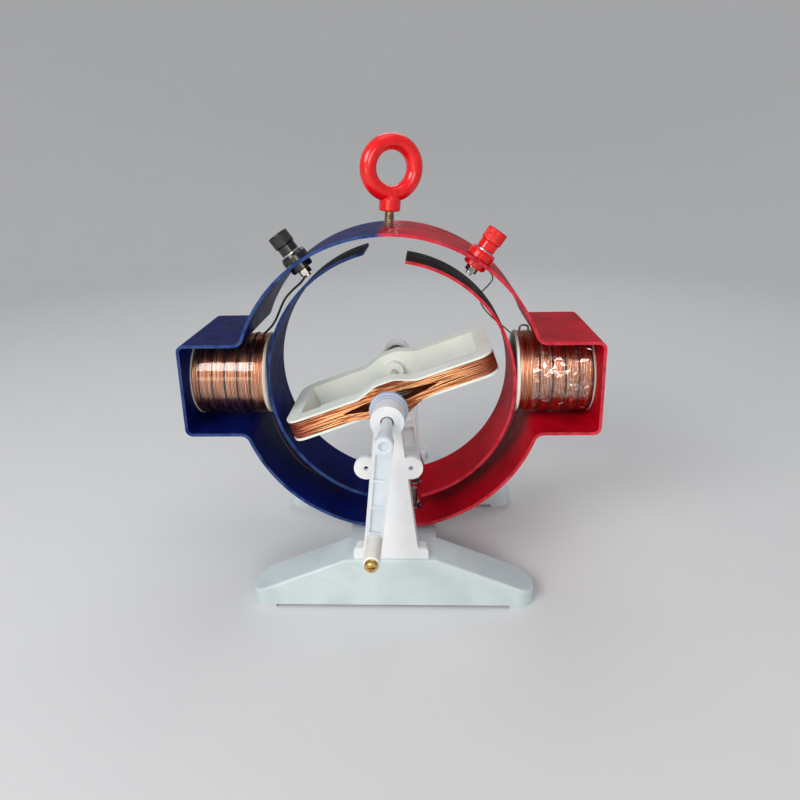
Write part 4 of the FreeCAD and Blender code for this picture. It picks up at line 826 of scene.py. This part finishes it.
# %% Spin outlines
def spin_outline(outline, around):
    """A closed shape from (radius, height) points, spun round Z. A radius of 0 closes a pole."""
    shell = bmesh.new()
    rings = []
    for radius, height in outline:
        angles = [math.tau * n / around for n in range(around)] if radius else [0]
        rings.append([shell.verts.new((radius * math.cos(a), radius * math.sin(a), height)) for a in angles])
    for lower, upper in zip(rings, rings[1:]):
        for n in range(around):
            m = (n + 1) % around
            corners = [ring[k % len(ring)] for ring, k in ((lower, n), (lower, m), (upper, m), (upper, n))]
            unique = [c for k, c in enumerate(corners) if c not in corners[:k]]
            if len(unique) > 2:
                shell.faces.new(unique)
    if outline[0] == outline[-1]:
        bmesh.ops.remove_doubles(shell, verts=shell.verts, dist=1e-7)
    bmesh.ops.recalc_face_normals(shell, faces=shell.faces)
    for face in shell.faces:
        face.smooth = True
    mesh = bpy.data.meshes.new("spun")
    shell.to_mesh(mesh)
    shell.free()
    return mesh


def finer(outline, step):
    """The same outline with points no further apart than step."""
    points = []
    for (r0, z0), (r1, z1) in zip(outline, outline[1:]):
        count = max(1, math.ceil(math.hypot(r1 - r0, z1 - z0) / step))
        points += [(r0 + (r1 - r0) * n / count, z0 + (z1 - z0) * n / count) for n in range(count)]
    return points + [outline[-1]]


def knurl_tree():
    tree, given = new_tree("knurled grip", Grooves=44.0, Depth=0.00030, Pitch=0.00096, Lower_end=0.0128,
                           Upper_end=0.0196)
    _, minus, times = sums(tree)
    where = add_node(tree, "GeometryNodeInputPosition").outputs[0]
    parts = parts_of(tree, where)
    angle = sum_node(tree, "ARCTAN2", parts["Y"], parts["X"])
    turn = times(times(angle, given["Grooves"]), 0.5)
    climb = sum_node(tree, "DIVIDE", times(parts["Z"], math.pi), given["Pitch"])
    waves = [sum_node(tree, "ABSOLUTE", sum_node(tree, "SINE", phase)) for phase in (turn, climb)]
    sharp = sum_node(tree, "POWER", minus(1.0, sum_node(tree, "MINIMUM", *waves)), 2.2)
    from_below = times(minus(parts["Z"], given["Lower end"]), 5000.0, clamp=True)
    from_above = times(minus(given["Upper end"], parts["Z"]), 5000.0, clamp=True)
    reach = vector_node(tree, "MULTIPLY", where, (1, 1, 0))
    outside = ramp_between(tree, vector_node(tree, "LENGTH", reach, result="Value"), 0.0063, 0.0066)
    depth = times(times(sharp, given["Depth"]), times(outside, times(from_below, from_above)))
    push = scaled(tree, vector_node(tree, "NORMALIZE", reach), times(depth, -1.0))
    return close_tree(tree, given, moved(tree, given["Geometry"], Offset=push))


knurled_grip = knurl_tree()

# %% Make the two caps
CAP_OUTSIDE = [(0.00365, 0.0064), (0.0056, 0.0064), (0.0059, 0.0067), (0.0059, 0.0117), (0.0063, 0.0121),
               (0.0067, 0.0124), (0.0067, 0.0197), (0.0065, 0.0202), (0.0060, 0.0204)]
CAP_TOP_AND_BORE = [(0.0053, 0.0201), (0, 0.0201), (0, 0.0152), (0.00365, 0.0152), (0.00365, 0.0064)]
GROOVES, STEPS_PER_GROOVE = 44, 7
for side, material, slot in (("left", black_plastic, "black_plastic"), ("right", red_plastic, "red_plastic")):
    blank = spin_outline(finer(CAP_OUTSIDE, 0.00019) + CAP_TOP_AND_BORE, GROOVES * STEPS_PER_GROOVE)
    cap = grow(knurled_grip, material, {"Grooves": float(GROOVES), "Depth": 0.00030}, on_post(side), blank)
    stand_piece(f"cap_knurled_{side}", cap, f"{side}_cap", [f"cap_{side}"])

# %% [markdown]
# ## The leads
#
# Thin leads join the posts to the coils and the coils to the brushes. Each is one smooth NURBS line
# through the air, with a round section, and its real length is printed. The leads to the brushes
# are dark enamelled wire with a pale sleeve over the last stretch, up the upright.

# %% Lay the leads
def lead(name, points, radius, material, length):
    piece = smooth_line(name, points, radius, material, 10)
    scene.collection.objects.link(piece)
    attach(piece, "stand")
    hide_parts(name)
    piece.name = name + "_line"
    print(f"{piece.name}: {length * 1000:.0f} mm")


insulation = Finish("black insulation", 0.48)
smudge = insulation.noise(0.002, 3)
insulation.colour(insulation.mix(smudge, paint_chip(18, 18, 20), paint_chip(44, 42, 44)))
insulation.bump(insulation.noise(0.0006, 2), 0.00003, 0.5)
sleeved = Finish("dark enamelled lead with a pale sleeve", 0.40)
from_middle = sum_node(sleeved.tree, "ABSOLUTE", parts_of(sleeved.tree, sleeved.place)["X"])
enamel = sleeved.mix(sleeved.noise(0.004, 3), paint_chip(62, 34, 24), paint_chip(34, 20, 18))
sleeve = sleeved.mix(sleeved.noise(0.0007, 3), paint_chip(222, 222, 224), paint_chip(196, 196, 200))
sleeved.colour(sleeved.mix(sleeved.between(from_middle, 0.0183, 0.0180), enamel, sleeve))
sleeved.bump(sleeved.noise(0.0005, 2), 0.00002, 0.4)

lead("lead_post_left", [
    (-53.44, -15.6, 210.95), (-53.7, -15.8, 206.2), (-57.2, -15.4, 201.6), (-62.8, -15.1, 197.2),
    (-68.9, -14.4, 190.8), (-72.8, -12.6, 183.2), (-77.0, -8.5, 175.4), (-81.8, -4.0, 168.8),
    (-88.0, 0.0, 163.35),
], 0.75 * MM, insulation.material, 0.0632)
lead("lead_post_right", [
    (53.3, -15.6, 210.85), (53.9, -11.4, 210.0), (57.6, -6.6, 210.3), (63.6, 0.6, 206.8), (69.0, 11.0, 200.6),
    (70.6, 19.0, 195.2), (67.0, 24.0, 189.4), (62.4, 26.5, 184.2), (62.5, 27.5, 176.5), (67.5, 28.0, 169.5),
    (74.5, 27.5, 163.0), (81.8, 25.5, 157.5), (88.0, 22.2, 152.0),
], 0.5 * MM, tinned_wire, 0.1023)
BRUSH_LEAD = [
    (88.0, -1.0, 107.8), (84.5, -5.0, 100.0), (79.8, -10.5, 90.5), (65.5, -14.0, 69.5), (46.5, -6.0, 54.5),
    (27.0, 12.0, 47.2), (21.5, 27.0, 46.5), (18.0, 40.5, 49.0), (16.6, 52.0, 55.5), (15.9, 59.5, 66.0),
    (15.3, 64.0, 79.0), (15.2, 67.05, 93.4),
]
for side, way in (("left", -1), ("right", 1)):
    lead(f"lead_brush_{side}", [(way * x, y, z) for x, y, z in BRUSH_LEAD],
         0.5 * MM, sleeved.material, 0.183)

# %% [markdown]
# Where a lead meets its tag or its brush it is soldered, and the right coil carries a wire lug on
# top, near its inner flange. The beads and the lug are small, but they tell how the motor is made.

# %% Solder the leads and bend the lug
joints = [solder_bead((-53.5, -15.6, 210.5), 1.0), solder_bead((53.4, -15.4, 210.5), 0.9)]
for way in (-1, 1):
    joints.append(solder_bead((way * 15.2, 67.0, 92.6), 1.0, (0.8, 0.7, 1.4)))
stand_piece("solder_joints", together("solder_joints", *joints), "stand")
lug = tube_along([(87.0, 1.0, 162.4), (87.0, 1.0, 164.4), (87.3, 1.0, 166.6), (90.0, 1.0, 167.4),
                  (92.7, 1.0, 166.6), (93.0, 1.0, 164.4), (93.0, 1.0, 162.4)], 0.0007, dull_steel)
lug.name = "coil_lug"
stand_piece("coil_lug", lug, "stand")

# %% [markdown]
# ## The clear film round the coils
#
# A clear film is wrapped over each winding. On the left it lies smooth, on the right it has crumpled
# into sharp little facets. Glass would shut the lamps out, so the film is a faint mirror that lets
# the rest of the light through. A grid is bent round the coil, its corners are pushed about at
# random, and flat shading keeps every crease sharp.

# %% Build the tree of a wrapped film
def film_tree():
    tree, given = new_tree("wrapped film", Radius=0.0283, Length=0.038, Along=2, Around=360, Crumple=0.0,
                           Thickness=0.00005, Seed=0)
    plus, _, times = sums(tree)
    sheet = add_node(tree, "GeometryNodeMeshGrid", Size_X=1.0, Size_Y=1.0, Vertices_X=given["Along"],
                     Vertices_Y=given["Around"])
    where = add_node(tree, "GeometryNodeInputPosition").outputs[0]
    parts = parts_of(tree, where)
    chance = add_node(tree, "FunctionNodeRandomValue", {"data_type": "FLOAT_VECTOR"}, Seed=given["Seed"])
    plug(tree, chance.inputs, ((-1, -1, 0), (1, 1, 1)))
    luck = parts_of(tree, chance.outputs[0])

    # the rim and the seam stay where they are, so that the sheet closes
    free = [sum_node(tree, "LESS_THAN", sum_node(tree, "ABSOLUTE", parts[axis]), 0.499) for axis in "XY"]
    creased = times(given["Crumple"], times(*free))
    angle = plus(times(parts["Y"], math.tau), times(luck["Y"], times(creased, 36.0)))
    along = plus(times(plus(parts["X"], 0.5), given["Length"]), times(luck["X"], creased))
    side, up = sum_node(tree, "COSINE", angle), sum_node(tree, "SINE", angle)
    front = plus(0.4, times(times(side, -0.6), 1.0, clamp=True))
    radius = plus(given["Radius"], times(times(luck["Z"], front), creased))
    spot = add_node(tree, "ShaderNodeCombineXYZ", X=along, Y=times(side, radius), Z=times(up, radius))
    bent = moved(tree, sheet.outputs[0], Position=spot.outputs[0])

    # one wall outwards, the same sheet turned over as the inner wall
    facets = add_node(tree, "GeometryNodeTriangulate", Mesh=bent)
    closed = add_node(tree, "GeometryNodeMergeByDistance", Geometry=facets.outputs[0], Distance=0.00001)
    outer = add_node(tree, "GeometryNodeExtrudeMesh", Mesh=closed.outputs[0], Offset_Scale=given["Thickness"],
                     Individual=False)
    inner = add_node(tree, "GeometryNodeFlipFaces", Mesh=closed.outputs[0])
    both = add_node(tree, "GeometryNodeJoinGeometry", Geometry=outer.outputs[0])
    tree.links.new(inner.outputs[0], both.inputs[0])
    whole = add_node(tree, "GeometryNodeMergeByDistance", Geometry=both.outputs[0], Distance=0.00001)
    return close_tree(tree, given, whole.outputs[0], smooth=False)


# %% Wrap both coils
def film_finish(name, plain, creased):
    """A clear film that mirrors with the share plain, and more along its creases."""
    finish = Finish(name, 0.05, metallic=1.0)
    finish.shader.inputs["Base Color"].default_value = (0.96, 0.97, 1.0, 1)
    finish.shader.inputs["Alpha"].default_value = plain
    if creased:
        fold = sum_node(finish.tree, "SUBTRACT", finish.noise(0.005, 3, distortion=1.2), 0.5)
        crease = finish.between(sum_node(finish.tree, "ABSOLUTE", fold), 0.018, 0.0)
        mirror = sum_node(finish.tree, "ADD", finish.times(crease, creased), plain)
        finish.tree.links.new(mirror, finish.shader.inputs["Alpha"])
    return finish.material


wrapped_film = film_tree()
FILMS = (  # side, way, start, length, cells along, cells around, crumple, plain mirror, mirror of a crease
    ("left", -1, 0.0906, 0.0374, 2, 360, 0.0, 0.028, 0.0),
    ("right", 1, 0.0925, 0.0385, 13, 104, 0.0012, 0.045, 0.30),
)
for side, way, start, length, along, around, crumple, plain, creased in FILMS:
    on_coil = Matrix.Translation((way * start, 0, RING_CENTRE)) @ Matrix.Scale(way, 4, (1, 0, 0))
    film = grow(wrapped_film, film_finish(f"clear film on the {side} coil", plain, creased), {
        "Radius": 0.02830, "Length": length, "Along": along, "Around": around, "Crumple": crumple, "Seed": 4,
    }, on_coil)
    film.name = f"film_{side}"
    stand_piece(f"film_{side}", film, "stand")

# %% [markdown]
# ## The room and the lamps
#
# A pale dish with a raised rim stands in for the studio, so there is no horizon from any side. One
# large lamp in front on the left gives the bright band along the coils, and a weaker one fills from
# the right. A low warm lamp puts a second glow on the copper, two more light the top and the back,
# and the sky is a pale even light.

# %% Make the floor and the lamps
def studio_dish():
    outline = [(0, 0), (0.6, 0), (1.2, 0)]
    for step in range(1, 11):
        rise = math.radians(9 * step)
        outline.append((1.2 + 0.8 * math.sin(rise), 0.8 - 0.8 * math.cos(rise)))
    outline.append((2.0, 1.6))
    mesh = spin_outline(outline, 96)
    mesh.flip_normals()
    dish = bpy.data.objects.new("studio_floor", mesh)
    scene.collection.objects.link(dish)
    finish = Finish("pale floor", 0.8)
    finish.colour(finish.mix(finish.noise(0.05, 3), paint_chip(216, 217, 218), paint_chip(213, 214, 216)))
    mesh.materials.append(finish.material)


def soft_lamp(name, place, width, height, watts, colour=(1, 1, 1)):
    light = bpy.data.lights.new(name, "AREA")
    light.shape = "RECTANGLE"
    light.size, light.size_y = width, height
    light.energy = watts
    light.color = colour
    lamp = bpy.data.objects.new(name, light)
    lamp.location = place
    lamp.rotation_euler = (Vector((0, 0, 0.13)) - Vector(place)).to_track_quat("-Z", "Y").to_euler()
    scene.collection.objects.link(lamp)


studio_dish()
soft_lamp("key", (-0.70, -0.92, 0.87), 0.80, 0.55, 10.6)
soft_lamp("front", (0.30, -1.20, 0.50), 0.6, 0.34, 3.6, (1, 0.96, 0.90))
soft_lamp("low", (-0.45, -1.25, 0.16), 0.8, 0.20, 1.8, (1, 0.80, 0.50))
soft_lamp("top", (0.15, -0.10, 1.35), 0.7, 0.7, 1.6)
soft_lamp("back", (0.1, 0.95, 1.15), 0.9, 0.5, 3.0)
sky = bpy.data.worlds.new("sky")
scene.world = sky
sky.use_nodes = True
even_light = sky.node_tree.nodes["Background"].inputs
even_light["Color"].default_value = (0.95, 0.97, 1.0, 1)
even_light["Strength"].default_value = 0.40
scene.view_settings.view_transform = "Standard"
print("lamps:", len(bpy.data.lights))
